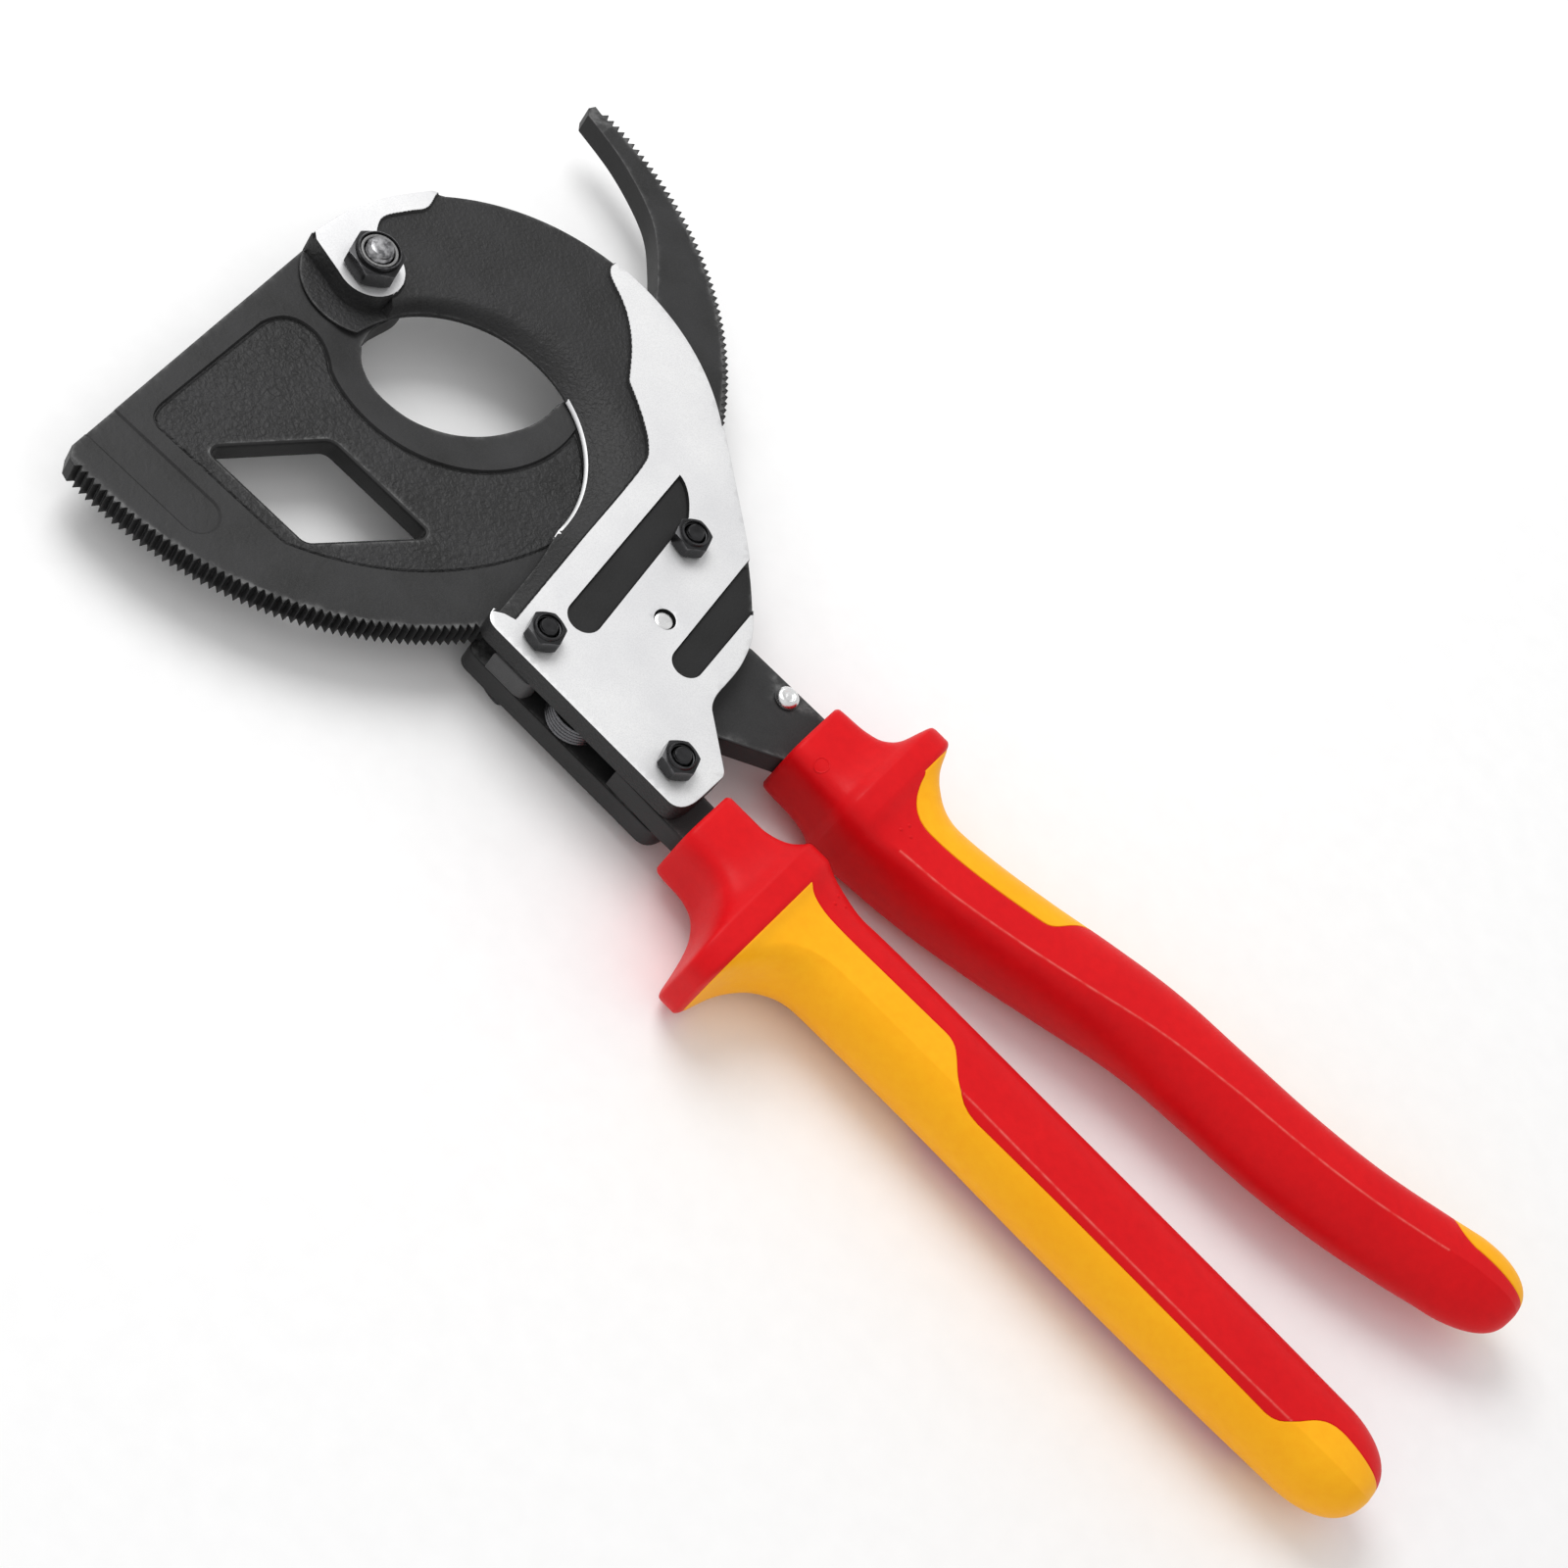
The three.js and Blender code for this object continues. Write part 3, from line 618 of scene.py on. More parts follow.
def worn_thread():
    """Threaded bolt end, grey where the nut has worn it."""
    n = Nodes("worn_thread_steel")
    patches = n.noise(1.4, 3.0)
    grain = n.noise(0.15, 2.0)
    base = n.mix(n.spread(patches, 0.35, 0.65), (0.10, 0.10, 0.105), (0.42, 0.42, 0.43))
    return n.finish(base, n.spread(grain, 0.3, 0.7, 0.24, 0.42), 0.9, n.bump(grain, 0.02, 0.6))


def bright_steel():
    """Polished rivet and pin steel with small scratches."""
    n = Nodes("bright_steel")
    scratches = n.noise(0.3, 4.0, 0.7, stretch=(1.0, 5.0, 1.0))
    patches = n.noise(2.2, 2.0)
    color = n.mix(n.spread(patches, 0.35, 0.65), (0.74, 0.74, 0.74), (0.92, 0.92, 0.92))
    return n.finish(color, n.spread(scratches, 0.3, 0.7, 0.14, 0.34), 1.0, n.bump(scratches, 0.02, 0.5))


def spring_wire():
    """Drawn spring wire, grey and slightly oiled."""
    n = Nodes("spring_wire_steel")
    drawn = n.noise(0.4, 3.0, 0.6, stretch=(1.0, 1.0, 5.0))
    color = n.mix(n.spread(drawn, 0.3, 0.7), (0.07, 0.07, 0.075), (0.20, 0.20, 0.21))
    return n.finish(color, n.spread(drawn, 0.3, 0.7, 0.22, 0.38), 0.95, n.bump(drawn, 0.01, 0.5))


def nylon():
    """Locking ring in the pivot nut."""
    n = Nodes("nylon_locking_ring")
    grain = n.noise(0.3, 3.0)
    color = n.mix(n.spread(grain, 0.3, 0.7), (0.16, 0.16, 0.16), (0.30, 0.30, 0.30))
    return n.finish(color, n.spread(grain, 0.3, 0.7, 0.4, 0.55), 0.0, n.bump(grain, 0.03, 0.6))


def moulded(name, deep, mid, light, roughness):
    """Moulded two-component plastic: fine sparked texture, slight cloudiness, soft sheen."""
    n = Nodes(name)
    clouds = n.noise(22.0, 3.0)
    mottle = n.noise(2.2, 3.0, 0.6)
    spark = n.noise(0.42, 2.0, 0.55)
    base = n.mix(n.spread(clouds, 0.3, 0.7), mid, light)
    base = n.mix(n.spread(mottle, 0.35, 0.75, 0.0, 0.28), base, deep)
    # Lighter red where the edge attribute is set: a painted highlight along the ridge of the red grips.
    base = n.mix(n.math("MULTIPLY", n.wear_and_highlight(), n.spread(mottle, 0.3, 0.6, 0.1, 0.45)), base, (0.95, 0.30, 0.25))
    rough = n.math("ADD", n.spread(clouds, 0.3, 0.7, roughness - 0.03, roughness + 0.04),
                   n.spread(spark, 0.3, 0.7, -0.05, 0.05))
    normal = n.bump(mottle, 0.05, 0.5, n.bump(spark, 0.03, 0.7))
    return n.finish(base, rough, 0.0, normal, Specular_IOR_Level=0.13)


PEBBLED = blackened("pebbled_black_steel", 1.15, 0.55)
SMOOTH_BLACK = blackened("smooth_black_steel", 1.6, 0.07, 1.05)
JAW_BLACK = blackened("forged_jaw_black_steel", 0.8, 0.28, 0.95)
FIELD_BLACK = blackened("sunken_field_black", 0.6, 0.05, 0.6)
# Darker black (0.5) for the blade's side walls and tooth flanks: painted shade on faces turned from the light.
WALL_SHADE_BLACK = blackened("blade_wall_painted_shade_black", 1.0, 0.02, 0.5)
PAWL_GREY = blackened("pawl_grey_steel", 1.4, 0.03, 2.6)
FORGED = blackened("forged_black_steel", 1.7, 0.05)
GROUND = ground_steel()
OXIDE = black_oxide()
THREAD = worn_thread()
BRIGHT = bright_steel()
WIRE = spring_wire()
NYLON = nylon()
RED = moulded("red_grip_plastic", (0.50, 0.002, 0.006), (0.66, 0.004, 0.008), (0.72, 0.006, 0.009), 0.42)
YELLOW = moulded("yellow_grip_plastic", (0.92, 0.33, 0.003), (0.98, 0.43, 0.006), (1.0, 0.47, 0.010), 0.42)


# ---- frame plates ----
def frame_end():
    """Outline of both plates at the handle end, from the lower edge round to the upper left."""
    points = [(118.8, -41.5)]
    points += quadratic((118.8, -41.5), (122.2, -41), (122.2, -35.2))
    points += quadratic((122.2, -28.6), (122.2, -27.2), (120.8, -26.2))
    points += [(111.2, -18.3)]
    points += quadratic((111.2, -18.3), (109.4, -16.5), (109.3, -12))
    return points + spline([(109.3, -12), (108.2, -4.4), (104.4, 3.9), (93.9, 15.5), (80, 27.4), (70, 35.6)])


def front_outline():
    """Outline of the front plate with the hooked jaw."""
    points = arc(0, 0, HUB_RADIUS, 199.8, 307)
    points += arc(*FIXED_EDGE, 177.1, 4, 2.5)
    points += spline([points[-1], (66.5, -20), (68.2, -30), (69.3, -37.2)])
    points += quadratic((68.4, -38.3), (68.8, -41.5), (72, -41.5))
    points += frame_end()
    points += arc(*JAW_BACK, 49.3, 143, 2.5)
    return points + spline([(-5.5, 25.4), (-9.6, 16), (-12, 6), (-12.5, -4.5)])


def jaw_zone():
    """The dark jaw, which lies lower than the bright flat of the plate."""
    points = [(29.3, 60), (29.3, 45.2)]
    points += spline([(29.3, 45.2), (31, 43.2), (38, 39.8), (44.5, 34.3), (50.3, 26.6)])
    points += spline([(50.3, 26.6), (57, 22.8), (63.2, 17.9), (65.8, 12), (69, -10)])
    points += [(73, -36.6), (68.2, -38.4), (60, -46), (-20, -32), (-20, -2.84), (-3, -6.6)]
    points += arc(0, 0, 7.2, -110, 125, 10)
    points += spline([(-4.1, 5.9), (-6.9, 11), (-5, 17), (-3.3, 21.2), (-4.4, 25.3)])
    return clean([*points, (-10, 60)])


def sunken_fields():
    """The two blackened fields on the bright flat, left blank."""
    long = arc(81.1, -24.2, 3.7, 187, 367, 12) + [(79.4, 12)]
    long += quadratic((79.4, 12), (75.4, 17.8), (71.6, 18.3))
    short = arc(101.1, -14.4, 3.4, 187, 367, 12) + [(101.8, 9.5), (104, 12), (96, 20), (93.4, 17.5)]
    return clean(long), clean(short)


def lower_of(first, second, blend=0.7):
    """The lower of two heights, with a soft change between them."""
    share = np.clip(0.5 + 0.5 * (second - first) / blend, 0, 1)
    return second + (first - second) * share - blend * share * (1 - share)


def jaw_height(points):
    """Height of the dark jaw: outer slope, hollow bevel down to the cutting edge, steep neck."""
    x, y = points[:, 0], points[:, 1]
    radius = np.hypot(x - FIXED_EDGE[0], y - FIXED_EDGE[1])
    turn = np.degrees(np.arctan2(y - FIXED_EDGE[1], x - FIXED_EDGE[0]))
    width = 2.0 + 8.5 * (1 - smooth_step(turn, 25, 150))
    crown = 4.75 - 0.35 * (1 - smooth_step(radius, 40, 50))
    bevel = 0.8 + 4.2 * np.clip((radius - FIXED_EDGE[2]) / width, 0, None) ** 0.85
    neck = np.where(y < -2, -42 + 0.66 * x + 2.2 * (1 - smooth_step(-y, 2, 12)), 60)
    found = lower_of(lower_of(crown, bevel, 1.3), neck, 0.6)
    return np.maximum(found, 0.75)


def front_plate():
    """Front plate: bright ground flat, blackened fields, walls and jaw."""
    zone = jaw_zone()
    fields = sunken_fields()

    def top(points):
        points = np.asarray(points, float)
        share = smooth_step(depth_in(zone, points), 0.0, 0.5)
        height = PLATE_FRONT + (jaw_height(points) - PLATE_FRONT) * share
        for field in fields:
            height -= FIELD_DEPTH * smooth_step(depth_in(field, points), 0.0, 0.32)
        return height

    lines = [(inset(turned_to(zone, 1), d), True) for d in (0.0, 0.14, 0.36, 0.5)]
    for field in fields:
        lines += [(inset(turned_to(field, 1), d), True) for d in (0.0, 0.16, 0.32)]
    lines.append((arc(*FIXED_EDGE[:2], EDGE_STRIP_RADIUS, -25, 110, 3), False))
    for radius in (29.0, 29.4, 29.9, 30.4, 31.2, 33.4, 35.6, 37.2, 39.0):
        lines.append((arc(*FIXED_EDGE[:2], radius, -25, 200, 3), False))
    holes = [circle(*p, BOLT_THREAD_RADIUS + GAP, 24) for p in BOLT_PLACES]
    holes += [circle(*LEVER_AXLE, LEVER_RADIUS + GAP, 32), circle(0, 0, PIVOT_RADIUS + GAP, 32)]
    vertices, faces, kind = plate_mesh(front_outline(), holes, top, level(PLATE_BACK), 0.22, lines,
                                       spacing=2.4, near=[zone, *fields])
    middle = np.array([vertices[list(f)].mean(0) for f in faces])
    bright = (middle[:, 2] > PLATE_FRONT - 0.10) & (depth_in(zone, middle[:, :2]) < 0.06)
    bright &= kind != 2
    for field in fields:
        bright &= depth_in(field, middle[:, :2]) < 0.03
    field_floor = np.zeros(len(faces), bool)
    for field in fields:
        field_floor |= (depth_in(field, middle[:, :2]) > 0.03) & (kind == 0)
    away = middle[:, :2] - FIXED_EDGE[:2]
    turn = np.degrees(np.arctan2(away[:, 1], away[:, 0]))
    on_strip = np.hypot(*away.T) < EDGE_STRIP_RADIUS - 0.04
    bright |= on_strip & (kind != 2) & (turn > -8) & (turn < 72)
    material = np.where(bright, 0, np.where(field_floor, 2, 1))
    obj = new_object("front_plate_with_hooked_jaw", vertices, faces, [GROUND, JAW_BLACK, FIELD_BLACK], material,
                     28, wear_and_highlight_of(vertices, faces, kind))
    return stands_for(obj, "front_plate_with_fixed_jaw")


def rear_plate():
    """Rear plate behind the blade, black all over."""
    outline = [(69, -38.6)] + quadratic((69, -38.6), (69, -41.5), (72, -41.5)) + frame_end()
    outline += arc(*JAW_BACK, 49.3, 70)
    outline += spline([outline[-1], (56, 28), (61, 8), (64, -10), (67, -28), (69, -38.6)])
    holes = [circle(*p, BOLT_BODY_RADIUS + GAP, 24) for p in BOLT_PLACES]
    holes.append(circle(*LEVER_AXLE, LEVER_RADIUS + GAP, 32))
    obj = simple_plate("rear_plate", outline, holes, REAR_BACK, REAR_FRONT, FORGED, 0.4)
    return stands_for(obj, "rear_guide_plate")


# ---- blade ----
def blade_outline():
    """Sector blade with its teeth, tail and cutting edge."""
    points = [(-12.4, -3), (-6.7, -77), (-5, -79.4)]
    for tooth in range(TOOTH_COUNT):
        tip = math.radians(TOOTH_FIRST + tooth * TOOTH_STEP)
        for turn, radius in TOOTH_SHAPE:
            angle = tip + math.radians(turn * TOOTH_STEP)
            points.append((radius * math.cos(angle), radius * math.sin(angle)))
    points += [(-1.6, 79.1), (-2.2, 77.4)]
    points += spline([(-1, 75.7), (10, 73.6), (20, 70), (27, 66), (33, 60), (38, 54)])
    points += spline([(38, 54), (42, 46.5), (45.4, 36), (46.3, 26), (43.9, 14)])
    points += spline([(43.9, 14), (44.2, 8), (43, 2), (40, -5), (35, -11.2), (28, -15.5), (20, -16.6), (14, -14.7),
                      (10.3, -11)])
    points += spline([(10.3, -11), (9, -6), (9.6, 2.5), (7, 7.8), (1, 10.4), (-5.5, 9.2), (-10.7, 3.6),
                      (-12.4, -3)])
    return points


def blade_panel():
    """Sunken pebbled panel, bounded by the smooth cutting rim."""
    points = [(-5.3, -25)] + quadratic((-5.3, -25), (-4.5, -17), (3, -17))
    points += quadratic((3, -17), (7, -17.4), (11, -21))
    points += arc(*RIM_CENTRE, RIM_WALL, -108, 14)
    points += quadratic(points[-1], (64, 6), (65.8, -12.8))
    points += arc(0, 0, 67, -11, -61, 2)
    points += [(0, -60.4)]
    return clean(points + quadratic((0, -60.4), (-3.3, -60), (-3.6, -55)))


def blade_field():
    """Shallow field for a marking near the toothed edge, left blank."""
    return clean([(-14, -73.4), (-14, -64.4), (18, -63), *arc(18, -67.6, 4.6, 90, -80, 12)][::-1])


def blade():
    """The toothed sector blade."""
    panel, field = blade_panel(), blade_field()
    window = rounded([(22.2, -33), (47.6, -32.2), (48, -34), (34.8, -54.4), (10.2, -55.3), (9.6, -53.6)], 1.6)

    def top(points):
        points = np.asarray(points, float)
        in_panel = depth_in(panel, points)
        groove = smooth_step(in_panel, 0.0, 0.3) - 0.45 * smooth_step(in_panel, 0.5, 0.95)
        height = -0.75 * groove - 0.35 * smooth_step(depth_in(field, points), 0.0, 0.5)
        rim = np.hypot(points[:, 0] - RIM_CENTRE[0], points[:, 1] - RIM_CENTRE[1])
        inner = (points[:, 0] > 4) & (points[:, 1] < 16)
        height -= np.where(inner, 0.6 * (1 - smooth_step(rim, 21.5, 28.4)), 0)
        return height

    lines = [(inset(turned_to(panel, 1), d), True) for d in (0.0, 0.14, 0.3, 0.5, 0.72, 0.95)]
    lines += [(inset(turned_to(field, 1), d), True) for d in (0.0, 0.25, 0.5)]
    for radius in (23.5, 25.5, 27.4):
        lines.append((arc(*RIM_CENTRE, radius, -150, 20, 4), False))
    holes = [circle(0, 0, PIVOT_RADIUS + GAP, 32), window]
    vertices, faces, kind = plate_mesh(blade_outline(), holes, top, level(BLADE_BACK), (0.13, 0.2, 0.75), lines,
                                       spacing=3.0, near=[panel, field])
    middle = np.array([vertices[list(f)].mean(0) for f in faces])
    pebbled = (kind == 0) & (depth_in(panel, middle[:, :2]) > 0.3)
    toothed = (kind == 1) & (np.hypot(middle[:, 0], middle[:, 1]) > TOOTH_ROOT_RADIUS - 0.4)
    # Side walls below the rounding take the darker black as painted shade.
    wall = (kind == 1) & (middle[:, 2] < -0.35)
    material = np.where(toothed | wall, 2, np.where(pebbled, 1, 0))
    obj = new_object("toothed_sector_blade", vertices, faces, [SMOOTH_BLACK, PEBBLED, WALL_SHADE_BLACK], material, 28,
                     wear_and_highlight_of(vertices, faces, kind))
    return stands_for(obj, "toothed_blade")


# ---- pawls ----
def holding_pawl():
    """Pawl whose thumb block shows in the side window."""
    outline = [(74.4, -38), (74.4, -41.8), (82, -41.8)] + quadratic((82, -41.8), (84.4, -41.6), (84.6, -38.6))
    outline += spline([(84.6, -38.6), (83.6, -35.2), (82.4, -32), (80.4, -28.4), (79.4, -26.4)])
    outline += [(79, -25), (76.5, -24.6), (76.9, -28)]
    outline += spline([(76.9, -28), (74.9, -31.4), (73.9, -34.6), (74.4, -38)])
    hole = circle(*BOLT_PLACES[0], BOLT_BODY_RADIUS + GAP, 24)
    obj = simple_plate("holding_pawl_block", outline, [hole], BLADE_BACK, 0.0, PAWL_GREY, 0.45)
    return stands_for(obj, "holding_pawl")


def drive_pawl():
    """Small pawl inside the frame."""
    outline = arc(84.9, -8.2, 2.4, -28, 152, 12)
    outline += [(80.4, -14.6), (78.7, -17.4), (78.9, -19), (81, -18.6), (81.8, -16.4)]
    obj = simple_plate("driving_pawl", outline, [], BLADE_BACK, 0.0, PAWL_GREY, 0.25, spacing=2.5)
    return stands_for(obj, "drive_pawl")


# ---- handle bars ----
MOVING_TANG = [(127, -3, 7.6), (131, -2.6, 6.2), (150, -3.1, 5), (180, 0.2, 4.6), (215, 5.8, 4.2),
               (250, 9, 3.8), (271, 12, 3)]
FIXED_TANG = [(122, -36, 5.6), (150, -36, 5), (200, -35.8, 4.4), (262, -35.6, 3.4)]


def strip(line):
    """Upper and lower edge of a strip given as (x, y, half width)."""
    return [(x, y + half) for x, y, half in line], [(x, y - half) for x, y, half in line]


def moving_bar():
    """Bar of the moving handle, with its round head on the axle pin and a notch for the drive pawl."""
    upper, lower = strip(MOVING_TANG)
    outline = arc(*LEVER_AXLE, 8.4, 75, 142.7, 6) + arc(84.9, -8.2, 2.7, 87.4, -15.6, 12) + [(85.46, -16.2)]
    outline += arc(*LEVER_AXLE, 8.4, 221.9, 285, 6) + [(112, -18.6), (115.6, -17.8)] + lower
    outline += upper[::-1] + [(107, 4.1), (99, 1.4)]
    holes = [circle(*LEVER_AXLE, LEVER_RADIUS + GAP, 32), circle(*RIVET_PLACE, 1.9, 24)]
    obj = simple_plate("moving_handle_steel", outline, holes, BLADE_BACK, 0.0, FORGED, 0.45)
    return stands_for(obj, "moving_handle_bar")


def fixed_bar():
    """Bar of the fixed handle, bolted between the plates."""
    upper, lower = strip(FIXED_TANG)
    outline = [(107, -41.2)] + lower + upper[::-1] + quadratic(upper[0], (121, -25.8), (114, -25.4))
    outline += [(109, -26.4)] + quadratic((109, -26.4), (106.4, -33), (107, -41.2))
    hole = circle(*BOLT_PLACES[2], BOLT_BODY_RADIUS + GAP, 24)
    obj = simple_plate("fixed_handle_steel", outline, [hole], BLADE_BACK, 0.0, FORGED, 0.45)
    return stands_for(obj, "fixed_handle_bar")


# ---- fasteners ----
def hexagon(across):
    """The radius of a hexagon at each angle, with a corner at angle 0."""
    return lambda angle: across / 2 / math.cos(angle % (math.pi / 3) - math.pi / 6)


def lock_nut(x, y, across, seat, top, collar, collar_top, hole, recess):
    """Self-locking hexagon nut: chamfered hexagon, rolled round collar and a recess round the thread."""
    half = across / 2
    profile = [(hole, seat), (half * 0.93, seat), (half, seat + 0.12), (half, top), (half * 0.955, top + 0.03),
               (collar, top + 0.05), (collar - 0.05, top + 0.25 * (collar_top - top)),
               (collar - 0.12, collar_top - 0.28), (collar - 0.25, collar_top - 0.10),
               (collar - 0.45, collar_top), (recess + 0.2, collar_top - 0.02), (recess + 0.05, collar_top - 0.12),
               (recess, collar_top - 0.5), (recess - 0.05, top + 0.1), (hole + 0.12, top + 0.05),
               (hole, top - 0.15)]

    def twist(radius, z, angle):
        if radius < half * 0.995:
            return radius, z
        reach = hexagon(across)(angle + math.radians(12))
        fall = (reach - half) * 0.62
        return reach, z + fall if z < seat + 0.2 else z - fall
    vertices, faces = ring_lathe(x, y, profile, 96, twist)
    # The hexagon's top edge and the collar's rim are lightened for rubbing and as a painted highlight.
    wear_and_highlight = [1.0 if (k // 96) % 16 in (3, 8, 9) else 0.0 for k in range(len(vertices))]
    return vertices, faces, wear_and_highlight


def nuts():
    """Pivot nut with its nylon ring, and the three frame nuts."""
    vertices, faces, wear_and_highlight = lock_nut(0, 0, 10.5, NUT_SEAT, 10.05, 4.75, 11.3, PIVOT_THREAD_RADIUS + GAP, 4.15)
    obj = new_object("pivot_lock_nut", vertices, faces, [OXIDE], sharp=28, wear_and_highlight=wear_and_highlight)
    stands_for(obj, "pivot_nut")
    profile = [(3.3, 10.25), (3.9, 10.25), (3.95, 10.7), (3.85, 10.98), (3.6, 11.08), (3.36, 10.95), (3.28, 10.6)]
    vertices, faces = ring_lathe(0, 0, profile, 64)
    obj = new_object("pivot_nut_locking_ring", vertices, faces, [NYLON])
    stands_for(obj, "pivot_nut_insert")
    for number, (x, y) in enumerate(BOLT_PLACES, 1):
        vertices, faces, wear_and_highlight = lock_nut(x, y, 7.1, NUT_SEAT, 9.15, 3.05, 9.88, BOLT_THREAD_RADIUS + GAP, 2.6)
        obj = new_object(f"frame_lock_nut_{number}", vertices, faces, [OXIDE], sharp=28, wear_and_highlight=wear_and_highlight)
        stands_for(obj, f"frame_nut_{number}")


def threaded(x, y, radius, low, high, pitch, depth, tip):
    """Threaded bolt end from low to high, with a chamfered tip."""
    rings = int((high - low) / pitch * 10)
    profile = [(radius, z) for z in np.linspace(low, high - tip, rings)]
    profile += [(radius - tip * 0.5, high - tip * 0.45), (radius - tip * 0.95, high - 0.08),
                (radius - tip * 1.15, high), (radius * 0.45, high), (0.0, high - 0.05)]

    def twist(r, z, angle):
        if r < radius * 0.6:
            return r, z
        turn = (z / pitch - angle / (2 * math.pi)) % 1.0
        cut = depth * (1 - abs(2 * turn - 1)) ** 0.8 * min(1.0, max(0.0, (high - z) / (tip * 0.6)))
        return min(r, radius - cut), z
    return lathe(x, y, profile, 48, twist)


def pivot_bolt():
    """Pivot bolt: round head with a hexagon socket on the back, plain shank, worn threaded end."""
    socket = hexagon(5.0)
    profile = [(0.0, -8.1), (2.3, -8.2), (2.5, -8.25), (2.5, -10.35), (2.72, -10.58), (3.3, -10.6), (6.5, -10.6),
               (7.0, -10.5), (7.3, -10.2), (7.4, -9.7), (7.4, -6.2), (7.2, REAR_FRONT), (PIVOT_RADIUS, REAR_FRONT),
               (PIVOT_RADIUS, 5.1), (PIVOT_RADIUS - 0.1, 5.2), (PIVOT_THREAD_RADIUS, 5.2),
               (PIVOT_THREAD_RADIUS, 7.0)]

    def twist(radius, z, angle):
        if z < -8 and 2.2 < radius < 2.8:
            return socket(angle) * radius / 2.5, z
        return radius, z
    body = lathe(0, 0, profile, 48, twist)
    end = threaded(0, 0, PIVOT_THREAD_RADIUS, 7.0, 12.4, 1.0, 0.5, 0.7)
    vertices, faces = joined([body, end])
    split = len(body[1])
    material = [0 if i < split else 1 for i in range(len(faces))]
    # The head's outer rim is lightened for rubbing and as a painted highlight.
    rim_wear_and_highlight = [1.0 if v[2] < -10.1 and math.hypot(v[0], v[1]) > 6.4 else 0.0 for v in vertices]
    obj = new_object("pivot_bolt_with_socket_head", vertices, faces, [OXIDE, THREAD], material, 30, rim_wear_and_highlight)
    stands_for(obj, "pivot_bolt")


def frame_bolts():
    """Three bolts through both plates, hexagon heads on the back."""
    seat = REAR_BACK - GAP
    for number, (x, y) in enumerate(BOLT_PLACES, 1):
        profile = [(0.0, seat - 3.5), (3.7, seat - 3.5), (4.0, seat - 3.38), (4.0, seat - 0.12), (3.7, seat),
                   (BOLT_BODY_RADIUS, seat), (BOLT_BODY_RADIUS, 0.0), (BOLT_THREAD_RADIUS, 0.1),
                   (BOLT_THREAD_RADIUS, 6.4)]
        outer = hexagon(8.0)

        def twist(radius, z, angle):
            if radius < 3.9:
                return radius, z
            reach = outer(angle + math.radians(9))
            return reach, z + (reach - 4.0) * (0.6 if z < seat - 2 else -0.2)
        body = lathe(x, y, profile, 96, twist)
        end = threaded(x, y, BOLT_THREAD_RADIUS, 6.4, 10.2, 0.7, 0.32, 0.45)
        vertices, faces = joined([body, end])
        # The hexagon head's edges are lightened for rubbing and as a painted highlight.
        wear_and_highlight = [1.0 if v[2] < seat - 3.0 and math.hypot(v[0] - x, v[1] - y) > 3.6 else 0.0 for v in vertices]
        obj = new_object(f"frame_hex_bolt_{number}", vertices, faces, [OXIDE], sharp=30, wear_and_highlight=wear_and_highlight)
        stands_for(obj, f"frame_bolt_{number}")


def axle_pin():
    """Ground axle pin of the moving handle, its ends a little below the plates."""
    low, high = REAR_BACK + 0.4, PLATE_FRONT - 0.55
    r = LEVER_RADIUS
    profile = [(0.0, low - 0.02), (r * 0.7, low), (r - 0.2, low + 0.05), (r, low + 0.25), (r, high - 0.25),
               (r - 0.07, high - 0.08), (r - 0.22, high), (r * 0.6, high + 0.03), (0.0, high + 0.04)]
    vertices, faces = lathe(*LEVER_AXLE, profile, 48)
    obj = new_object("lever_axle_ground_pin", vertices, faces, [BRIGHT])
    stands_for(obj, "lever_axle_pin")


def spring_post():
    """Post inside the coil."""
    profile = [(0.0, BLADE_BACK), (3.9, BLADE_BACK), (4.3, BLADE_BACK + 0.4), (4.3, -0.4), (3.9, 0.0), (0.0, 0.0)]
    vertices, faces = lathe(*SPRING_AXIS, profile, 48)
    obj = new_object("spring_centre_post", vertices, faces, [FORGED])
    stands_for(obj, "spring_post")


def rivet():
    """Bright rivet through the moving bar, with a peened, slightly uneven head."""
    profile = [(0.0, -7.0), (1.2, -6.95), (2.0, -6.75), (2.4, -6.3), (2.5, REAR_FRONT), (1.6, REAR_FRONT),
               (1.6, GAP), (2.45, GAP), (2.6, 0.45), (2.55, 0.8), (2.3, 1.25), (1.95, 1.55), (1.6, 1.68),
               (1.3, 1.66), (1.1, 1.45), (0.9, 1.30), (0.5, 1.36), (0.0, 1.42)]

    def twist(radius, z, angle):
        if z < 0.4:
            return radius, z
        dent = 0.10 * math.sin(3 * angle + 0.7) * (radius / 2.6) * (1 - abs(radius - 1.4) / 2.6)
        return radius, z + dent - 0.06
    vertices, faces = lathe(*RIVET_PLACE, profile, 56, twist)
    obj = new_object("bar_bright_rivet", vertices, faces, [BRIGHT], sharp=50)
    stands_for(obj, "bar_rivet")


